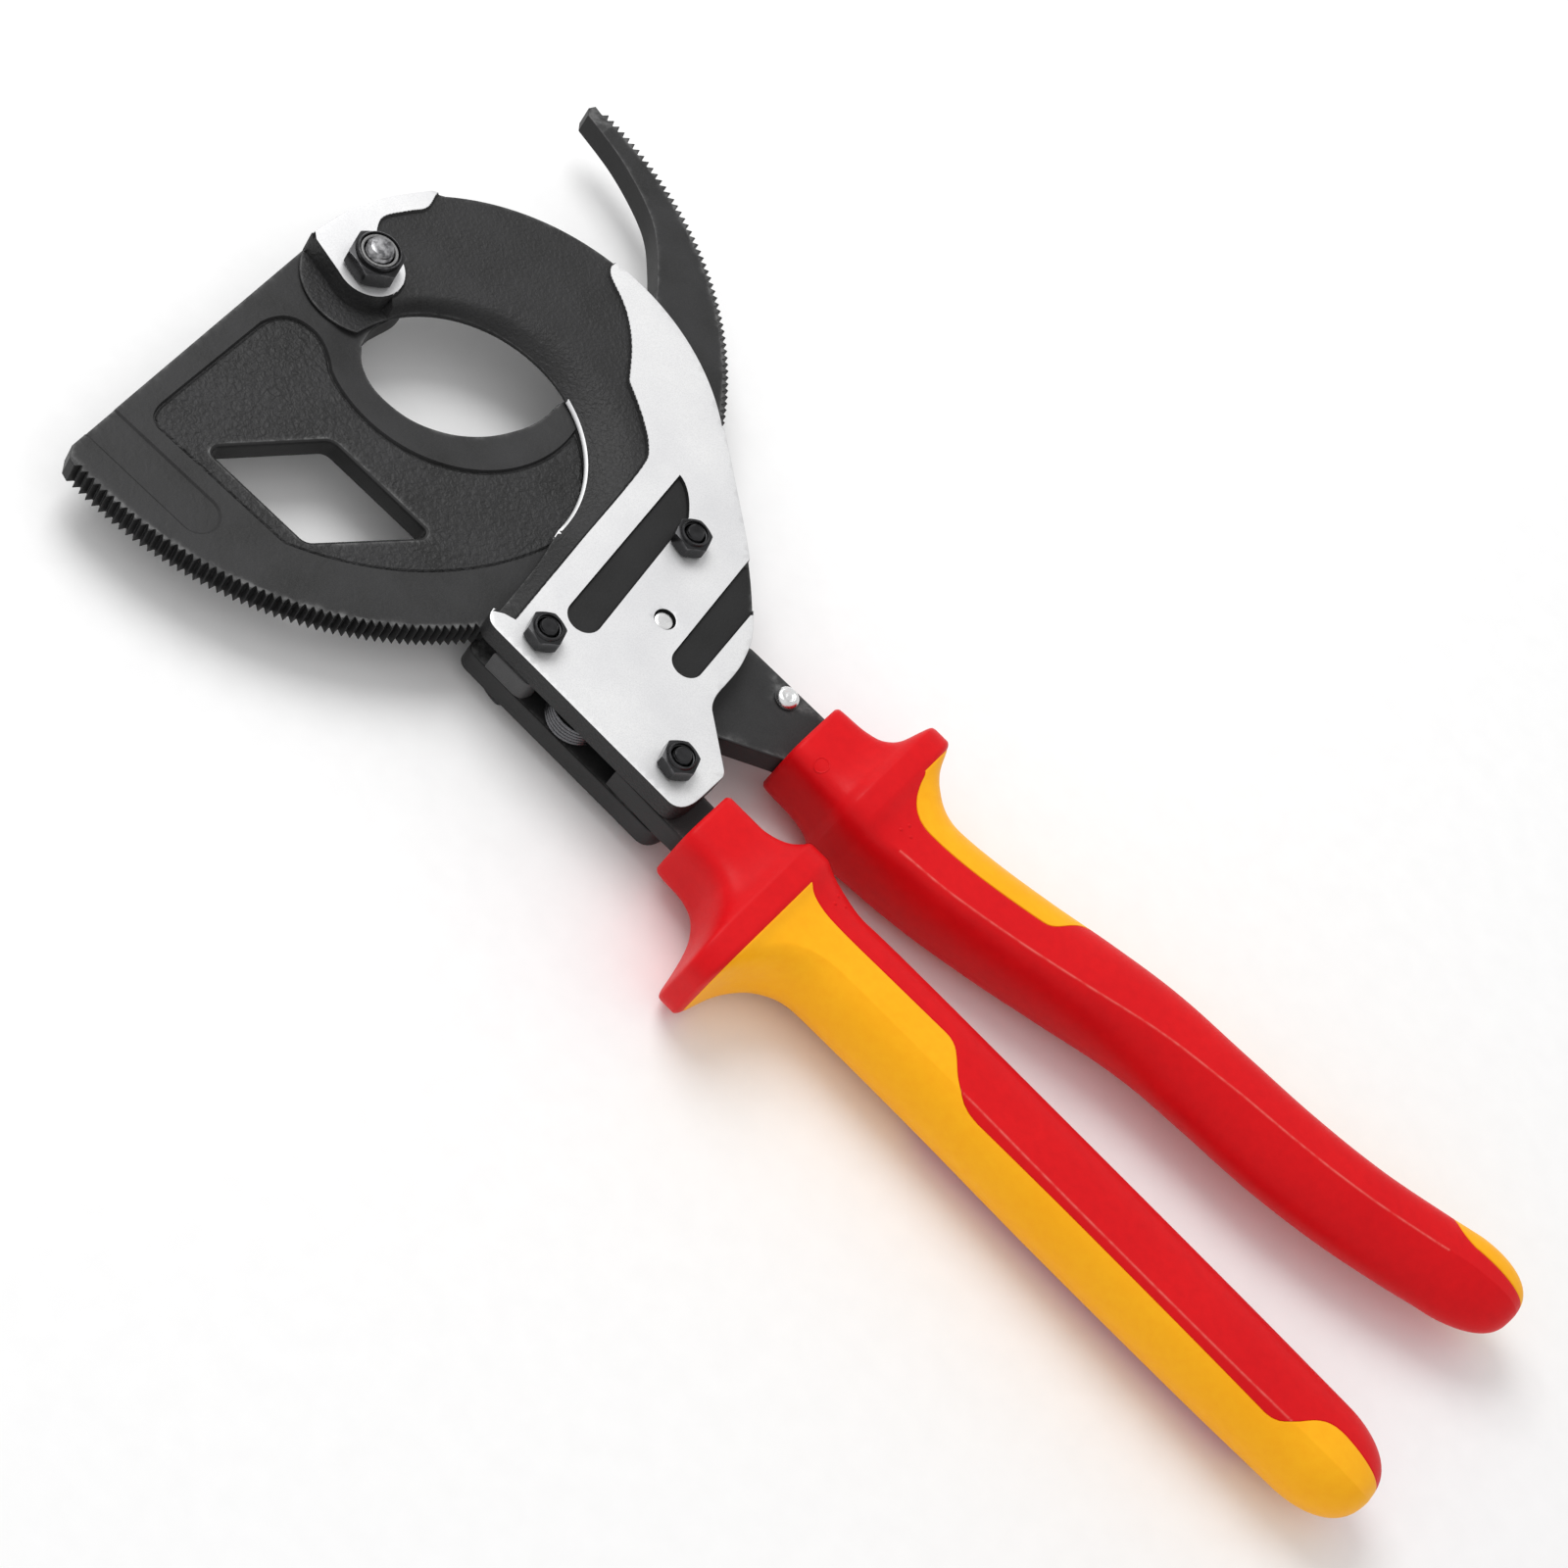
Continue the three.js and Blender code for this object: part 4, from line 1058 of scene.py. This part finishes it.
def spring():
    """Torsion spring round its post, a leg on the fixed bar and a leg under the moving bar."""
    turns, leg_share, legs = 4.75, 0.1, (13.0, 16.2)
    steps, sides = 260, 12
    points = []
    for t in np.linspace(0, 1, steps):
        coil = min(1.0, max(0.0, (t - leg_share) / (1 - 2 * leg_share)))
        angle = math.radians(90) + coil * turns * 2 * math.pi
        z = BLADE_BACK + 0.55 + coil * (-0.55 - BLADE_BACK - 0.55)
        point = np.array([SPRING_AXIS[0] + SPRING_RADIUS * math.cos(angle),
                          SPRING_AXIS[1] + SPRING_RADIUS * math.sin(angle), z])
        along = np.array([-math.sin(angle), math.cos(angle), 0.0])
        if t < leg_share:
            point -= along * legs[0] * (1 - t / leg_share)
        if t > 1 - leg_share:
            point += along * legs[1] * (t - 1 + leg_share) / leg_share
        points.append(point)
    vertices = []
    up = np.array([0.0, 0.0, 1.0])
    for i, point in enumerate(points):
        ahead = points[min(i + 1, steps - 1)] - points[max(i - 1, 0)]
        side = np.cross(ahead / np.linalg.norm(ahead), up)
        side /= np.linalg.norm(side)
        over = np.cross(side, ahead / np.linalg.norm(ahead))
        for k in range(sides):
            a = 2 * math.pi * k / sides
            vertices.append(point + SPRING_WIRE * (math.cos(a) * side + math.sin(a) * over))
    faces = band_faces(steps, sides)
    faces.append(tuple(range(sides))[::-1])
    faces.append(tuple((steps - 1) * sides + k for k in range(sides)))
    obj = new_object("handle_opening_spring", vertices, faces, [WIRE])
    stands_for(obj, "handle_spring")


# ---- grips: stations of x, lower edge, upper edge, half thickness ----
FIXED_GRIP = [
    (125.4, -44.3, -29.2, 8.4), (125.8, -44.6, -28.95, 8.8), (126.4, -44.8, -28.8, 9.0), (134, -45.6, -28.8, 9.1),
    (138, -48, -28, 9.6), (140.6, -52.6, -26.6, 10.4), (142.2, -59, -25, 11.4), (142.9, -63.0, -24.0, 11.9),
    (143.4, -64.2, -23.7, 12.08), (144.4, -64.6, -23.6, 12.1), (147.4, -64.6, -23.6, 12.1),
    (148.1, -64.1, -23.7, 11.95), (148.6, -63.0, -23.9, 11.75), (150.4, -57, -24.6, 10.8),
    (153.4, -51.8, -25, 10.1), (158, -48.4, -25, 9.7), (165, -46.9, -24.7, 9.5), (190, -46.7, -24.5, 9.5),
    (230, -47.1, -24.5, 9.6), (270, -46.9, -24.6, 9.5), (292, -46.4, -24.9, 9.4),
]
MOVING_GRIP = [
    (127.4, -11.1, 5.6, 8.4), (127.8, -11.5, 6.0, 8.8), (128.4, -11.7, 6.1, 9.0), (135, -12, 6.8, 9.1),
    (139, -12.4, 8.4, 9.6), (141.2, -13, 11.4, 10.4), (142.4, -13.6, 15.6, 11.4), (143.1, -13.9, 17.8, 11.9),
    (143.6, -14.1, 18.4, 12.08), (144.6, -14.2, 18.6, 12.1), (147.4, -14.2, 18.6, 12.1),
    (148.1, -14.2, 18.2, 11.95), (148.6, -14.2, 17.3, 11.75), (150.6, -14, 12.6, 10.8),
    (154, -13.8, 9.4, 10.1), (160, -13.4, 7.9, 9.7), (170, -12.4, 8.8, 9.5), (185, -9.6, 11.6, 9.5),
    (200, -6.2, 15.1, 9.5), (215, -3.2, 17.7, 9.5), (235, -1.9, 18.7, 9.5), (252, -0.9, 19.7, 9.5),
    (270, 2, 22.2, 9.5), (285, 5.8, 26, 9.4), (293, 8.2, 28.3, 9.3),
]
FIXED_RIDGE = [(125, 5.0), (300, 5.0), (310, 5.0)]
MOVING_RIDGE = [(125, 2.4), (158, 2.6), (175, 3.2), (190, 3.7), (200, 4.2), (210, 5.0), (225, 6.8), (240, 8.2),
                (255, 8.8), (310, 8.8)]
FIXED_SEAM = ([(100, -33.2), (149, -33.2)] + quadratic((149, -33.2), (150, -34.6), (156, -34.8))
              + [(187.5, -34.2)] + cubic((187.5, -34.2), (193, -34.4), (193, -43.5), (203, -43.6)) + [(280, -43.6)]
              + cubic((280, -43.6), (287, -43.4), (286, -34.8), (294, -34.6)) + [(330, -34.6)])
MOVING_SEAM = ([(100, 6), (149, 6)] + quadratic((149, 6), (151, -3), (158, -2.8))
               + quadratic((158, -2.8), (170, -2.2), (186.5, 2))
               + cubic((186.5, 2), (190, 3), (190, 9.4), (196, 12.9))
               + [(215, 16.2), (235, 17.2), (255, 18.6), (275, 22), (286, 24.8)]
               + quadratic((286, 24.8), (288, 21.6), (293, 21.4)) + [(320, 24.6)])
SEAM_START = 148.6
LOW_COUNT, HIGH_COUNT = 34, 34         # points of a half section on each side of the colour seam
SEAM_DEPTH = 0.16
SLOT_CLEARANCE = 0.25
PIP_RADIUS = 0.42


def monotone(table, x):
    """Smooth curve through the table's points with no overshoot. Gives one array per column."""
    table = np.array(table, float)
    xs, found = table[:, 0], []
    x = np.clip(np.asarray(x, float), xs[0], xs[-1])
    span = np.diff(xs)
    at = np.clip(np.searchsorted(xs, x, side="right") - 1, 0, len(xs) - 2)
    t = (x - xs[at]) / span[at]
    for column in table[:, 1:].T:
        slope = np.diff(column) / span
        tangent = np.concatenate([[slope[0]], (slope[1:] + slope[:-1]) / 2, [slope[-1]]])
        for i, s in enumerate(slope):
            if abs(s) < 1e-9 or (0 < i and slope[i - 1] * s <= 0):
                tangent[i] = 0.0
            if abs(s) < 1e-9:
                tangent[i + 1] = 0.0
        for i, s in enumerate(slope):
            if abs(s) > 1e-9:
                tangent[i] = math.copysign(min(abs(tangent[i]), 3 * abs(s)), s) if tangent[i] * s > 0 else 0.0
                near = tangent[i + 1]
                tangent[i + 1] = math.copysign(min(abs(near), 3 * abs(s)), s) if near * s > 0 else 0.0
        a, b = column[at], column[at + 1]
        m, n = tangent[at] * span[at], tangent[at + 1] * span[at]
        found.append((2 * t ** 3 - 3 * t ** 2 + 1) * a + (t ** 3 - 2 * t ** 2 + t) * m
                     + (3 * t ** 2 - 2 * t ** 3) * b + (t ** 3 - t ** 2) * n)
    return found


def half_section(low, high, half, ridge, squareness):
    """Front half of a grip's section, from its lower edge to its upper edge, as (y, z).

    The hand part has a crease where its front face meets its side. Squareness 1 is the collar's rounded
    rectangle, 0 the hand part.
    """
    t = np.linspace(0, 1, 240)
    y = low + (high - low) * (0.5 - 0.5 * np.cos(math.pi * t))
    below = np.clip((ridge - y) / (ridge - low), 0, 1)
    above = np.clip((y - ridge) / (high - ridge), 0, 1)
    lean = np.clip(0.7 * (ridge - low) / half, 0.15, 0.5)
    side = (1 - lean * below) * (1 - below ** 3.2) ** 0.5
    face = (1 - 0.035 * above) * (1 - above ** 4.4) ** 0.5
    hand = np.where(y < ridge, side, face)
    across = 2 * (y - low) / (high - low) - 1
    collar = (1 - np.abs(across) ** 4.6) ** (1 / 4.6)
    z = half * (hand * (1 - squareness) + collar * squareness)
    z[0] = z[-1] = 0.0
    return np.stack([y, np.maximum(z, 0)], axis=1)


def spaced(line, weight, count, fine_end=False, fine_start=False):
    """count + 1 points along the line, closer where weight is high, with a short step at a seam end."""
    step = np.hypot(*np.diff(line, axis=0).T)
    total = np.concatenate([[0], np.cumsum(step * (weight[1:] + weight[:-1]) / 2)])
    marks = np.linspace(0, total[-1], count)
    small = min(0.22 * total[-1] / max(step.sum(), 1e-6), total[-1] * 0.3)
    if fine_end:
        marks = np.concatenate([np.linspace(0, total[-1] - small, count), [total[-1]]])
    elif fine_start:
        marks = np.concatenate([[0], np.linspace(small, total[-1], count)])
    return np.stack([np.interp(marks, total, line[:, k]) for k in (0, 1)], axis=1)


def crease_weight(part, crest, squareness):
    """How closely points are set along a part of the section, most of all at the crease of the hand part."""
    return 1 + 3.5 * np.exp(-((part[:, 0] - crest) / 1.1) ** 2) * (1 - squareness)


def grip_rows(stations, end_x):
    """x of each row, and for the rounded end how far it has closed, 1 to 0."""
    start, last = stations[0][0], stations[-1][0]
    xs = list(np.concatenate([np.linspace(start, start + 1.2, 6), np.linspace(start + 1.8, 139.5, 16),
                              np.linspace(140, 143.6, 16), np.linspace(144.2, 147.4, 5),
                              np.linspace(147.7, SEAM_START - 0.2, 4), [SEAM_START, SEAM_START + 0.2],
                              np.linspace(149.2, 160, 24), np.linspace(161, 186, 22), np.linspace(187, 204, 24),
                              np.linspace(206, 278, 42), np.linspace(279, last, 18)]))
    rows = [(x, 1.0) for x in xs]
    for angle in np.radians(np.linspace(5, 89, 18)):
        rows.append((last + (end_x - last) * math.sin(angle), math.cos(angle) ** 0.75))
    return rows


def grip_grid(stations, ridges, seam, end_x):
    """All points of a grip's surface, row by row round the section, and the seam row."""
    rows = grip_rows(stations, end_x)
    x = np.array([r[0] for r in rows])
    closing = np.array([r[1] for r in rows])
    low, high, half = monotone(stations, x)
    last_x, last_low, last_high, _ = stations[-1]
    before = stations[-2]
    drift = ((last_low + last_high) - (before[1] + before[2])) / 2 / (last_x - before[0])
    centre = (low + high) / 2 + np.where(x > last_x, (x - last_x) * drift * 0.75, 0)
    width = (high - low) / 2 * closing
    low, high, half = centre - width, centre + width, half * closing ** 1.02
    offset = monotone(ridges, x)[0] * closing
    seam_x, seam_y = np.array(seam).T
    border = np.interp(x, seam_x, seam_y)
    square = 1 - smooth_step(x, 149.5, 162.0)
    grid = []
    for i in range(len(x)):
        line = half_section(low[i], high[i], half[i], low[i] + offset[i], square[i])
        split = min(max(border[i], low[i] + 0.06 * (high[i] - low[i])), high[i] - 0.03 * (high[i] - low[i]))
        at = np.searchsorted(line[:, 0], split)
        middle = np.array([split, np.interp(split, line[:, 0], line[:, 1])])
        first, second = np.vstack([line[:at], middle]), np.vstack([middle, line[at:]])
        crest = low[i] + offset[i]
        front = np.vstack([spaced(first, crease_weight(first, crest, square[i]), LOW_COUNT, fine_end=True),
                           spaced(second, crease_weight(second, crest, square[i]), HIGH_COUNT,
                                  fine_start=True)[1:]])
        back = front[::-1][1:-1] * (1, -1)
        ring = np.vstack([front, back])
        grid.append(np.column_stack([np.full(len(ring), x[i]), ring[:, 0], MIDDLE + ring[:, 1]]))
    return np.array(grid), int(np.argmin(abs(x - SEAM_START))), centre


def seam_columns(outer_is_low):
    """Columns of the colour seam, front and back, and which faces round the section are yellow."""
    total = 2 * (LOW_COUNT + HIGH_COUNT)
    front, back = LOW_COUNT, total - LOW_COUNT
    column = np.arange(total)
    low_side = (column < front) | (column >= back)
    return (front, back), low_side if outer_is_low else ~low_side


def grip(name, stations, ridges, seam, end_x, tang, outer_is_low, marks):
    """One grip: red core with collar and guard, and the yellow part on its outer side."""
    grid, start, centre = grip_grid(stations, ridges, seam, end_x)
    rows, total = grid.shape[:2]
    columns, yellow_face = seam_columns(outer_is_low)
    middle = np.stack([grid[:, 0, 0], centre, np.full(rows, MIDDLE)], axis=1)
    toward = middle[:, None, :] - grid
    toward /= np.maximum(np.linalg.norm(toward, axis=2), 1e-6)[:, :, None]
    sunk = np.zeros((rows, total))
    for column in columns:
        sunk[start:, column] = SEAM_DEPTH
    yellow_column = yellow_face | np.roll(yellow_face, 1)
    sunk[start, yellow_column] = SEAM_DEPTH
    closing = np.clip((end_x - grid[:, 0, 0]) / 6.0, 0.1, 1)[:, None]
    grid = grid + toward * (sunk * closing)[:, :, None]
    flat = grid.reshape(-1, 3)
    tip = [end_x, float(centre[-1]), MIDDLE]
    pieces = {"yellow": [], "red": []}
    for number, face in enumerate(band_faces(rows, total)):
        i, j = divmod(number, total)
        pieces["yellow" if i >= start and yellow_face[j] else "red"].append(face)
    for j in range(total):
        face = ((rows - 1) * total + j, (rows - 1) * total + (j + 1) % total, rows * total)
        pieces["yellow" if yellow_face[j] else "red"].append(face)
    vertices = np.vstack([flat, [tip]])
    # A thin lighter line along the crease of the hand part: a painted highlight.
    rub_and_highlight = np.zeros((rows, total))
    crests = grid[:, 0, 1] + monotone(ridges, grid[:, 0, 0])[0]
    hand = (grid[:, 0, 0] > 156) & (grid[:, 0, 0] < stations[-1][0] - 4)
    rub_and_highlight[hand] = np.exp(-((grid[hand, :, 1] - crests[hand, None]) / 0.55) ** 2)
    rub_and_highlight = np.append(rub_and_highlight.ravel(), 0.0)
    red_used = sorted({i for f in pieces["red"] for i in f})
    red_vertices, red_faces = joined([own_vertices(vertices, pieces["red"]), collar_mouth(grid[0], tang),
                                      *[mark_ring(grid, *m) for m in marks["rings"]],
                                      *[pip(grid, *m) for m in marks["pips"]]])
    wear_and_highlight = np.append(rub_and_highlight[red_used], np.zeros(len(red_vertices) - len(red_used)))
    red = new_object(f"{name}_red_core", red_vertices, [f[::-1] for f in red_faces], [RED], sharp=34, wear_and_highlight=wear_and_highlight)
    stands_for(red, f"{name}_core")
    yellow_vertices, yellow_faces = own_vertices(vertices, pieces["yellow"])
    yellow = new_object(f"{name}_yellow_outer", yellow_vertices, [f[::-1] for f in yellow_faces], [YELLOW],
                        sharp=34)
    thicken(yellow, 1.2)
    stands_for(yellow, f"{name}_inlay")


def own_vertices(vertices, faces):
    """The faces with only the vertices that they use."""
    used = sorted({i for f in faces for i in f})
    index = {old: new for new, old in enumerate(used)}
    return [tuple(vertices[i]) for i in used], [tuple(index[i] for i in f) for f in faces]


def thicken(obj, depth_mm):
    """Gives a sheet a real thickness inwards."""
    solid = obj.modifiers.new("thickness", "SOLIDIFY")
    solid.thickness = depth_mm * 0.001
    solid.offset = -1.0


def collar_mouth(ring, tang):
    """Front end of a collar: a flat face and the slot that the bar goes into."""
    x = ring[0, 0]
    slot_y = tang[0][1]
    half_y = np.interp(x, [t[0] for t in tang], [t[2] for t in tang]) + SLOT_CLEARANCE
    half_z = -MIDDLE + SLOT_CLEARANCE
    away = ring[:, 1:] - (slot_y, MIDDLE)
    scale = np.min((half_y, half_z) / np.maximum(abs(away), 1e-6), axis=1)
    slot = (slot_y, MIDDLE) + away * scale[:, None]
    count = len(ring)
    loops = [ring, np.column_stack([np.full(count, x), slot]), np.column_stack([np.full(count, x + 5), slot])]
    vertices = [tuple(p) for loop in loops for p in loop]
    faces = [(a * count + i, (a + 1) * count + i, (a + 1) * count + (i + 1) % count, a * count + (i + 1) % count)
             for a in (0, 1) for i in range(count)]
    return vertices, faces


def surface_at(grid, x, y):
    """Height of a grip's front face at x and y."""
    row = grid[int(np.argmin(abs(grid[:, 0, 0] - x)))][:LOW_COUNT + HIGH_COUNT + 1]
    return float(np.interp(y, row[:, 1], row[:, 2]))


def mark_ring(grid, x, y, radius):
    """Small raised moulding ring on the front face."""
    vertices = []
    sides, tube = 28, 8
    for i in range(sides):
        a = 2 * math.pi * i / sides
        px, py = x + radius * math.cos(a), y + radius * math.sin(a)
        pz = surface_at(grid, px, py)
        for k in range(tube):
            b = 2 * math.pi * k / tube
            vertices.append((px + 0.16 * math.cos(b) * math.cos(a), py + 0.16 * math.cos(b) * math.sin(a),
                             pz + 0.12 * math.sin(b)))
    return vertices, band_faces(sides, tube, closed=True)


def pip(grid, x, y):
    """Small raised grip pip on the front face."""
    base = surface_at(grid, x, y)
    profile = [(PIP_RADIUS * share, base + up) for share, up in
               ((1.1, -0.3), (1.0, 0.02), (0.75, 0.12), (0.4, 0.17), (0.0, 0.18))]
    vertices, faces = lathe(x, y, profile, 14)
    return vertices, [f[::-1] for f in faces]


# ---- camera, light and floor ----
def camera():
    """Camera at the photograph's viewing angle."""
    data = bpy.data.cameras.new("camera")
    data.lens, data.sensor_width = 85.5, 36.0
    data.clip_start, data.clip_end = 0.01, 20.0
    obj = bpy.data.objects.new("camera", data)
    obj.location = (0.0104, -0.46373, 0.58953)
    obj.rotation_euler = Euler([math.radians(v) for v in (30.1452, -24.4647, 39.036)], "XYZ")
    bpy.context.scene.collection.objects.link(obj)
    bpy.context.scene.camera = obj


def area_light(name, location, target, size, power):
    """Soft round studio light."""
    data = bpy.data.lights.new(name, "AREA")
    data.shape, data.size, data.energy = "DISK", size, power
    obj = bpy.data.objects.new(name, data)
    obj.location = location
    obj.rotation_euler = (Vector(target) - Vector(location)).to_track_quat("-Z", "Y").to_euler()
    bpy.context.scene.collection.objects.link(obj)


def studio():
    """Pale floor, white surroundings and one soft light."""
    world = bpy.data.worlds.new("white_studio")
    world.use_nodes = True
    background = world.node_tree.nodes["Background"]
    background.inputs["Color"].default_value = (1, 1, 1, 1)
    background.inputs["Strength"].default_value = 0.75
    bpy.context.scene.world = world
    area_light("key", (-0.55, 0.16, 0.76), (0, 0, 0), 0.6, 4.3)
    mesh = bpy.data.meshes.new("floor")
    half = FLOOR_HALF_SIZE
    mesh.from_pydata([(-half, -half, 0), (half, -half, 0), (half, half, 0), (-half, half, 0)], [], [(0, 1, 2, 3)])
    n = Nodes("pale_floor")
    paper = n.noise(6.0, 3.0)
    tone = n.mix(n.spread(paper, 0.3, 0.7), (0.93, 0.93, 0.93), (0.95, 0.95, 0.95))
    mesh.materials.append(n.finish(tone, 0.9, 0.0, None, Specular_IOR_Level=0.1))
    floor = bpy.data.objects.new("floor", mesh)
    floor.location.z = -FLOOR_GAP
    bpy.context.scene.collection.objects.link(floor)
    bpy.context.scene.view_settings.view_transform = "Standard"


# ---- the whole tool ----
front_plate()
rear_plate()
blade()
holding_pawl()
drive_pawl()
moving_bar()
fixed_bar()
pivot_bolt()
frame_bolts()
nuts()
axle_pin()
spring_post()
rivet()
spring()
grip("fixed_grip", FIXED_GRIP, FIXED_RIDGE, FIXED_SEAM, 307.2, FIXED_TANG, True,
     {"rings": [], "pips": [(154.0, -29.4), (156.4, -29.6), (154.6, -31.4)]})
grip("moving_grip", MOVING_GRIP, MOVING_RIDGE, MOVING_SEAM, 309.2, MOVING_TANG, False,
     {"rings": [(133.6, -9.0, 1.5)], "pips": [(153.4, -7.6), (155.8, -7.0), (154.0, -5.4)]})
camera()
studio()
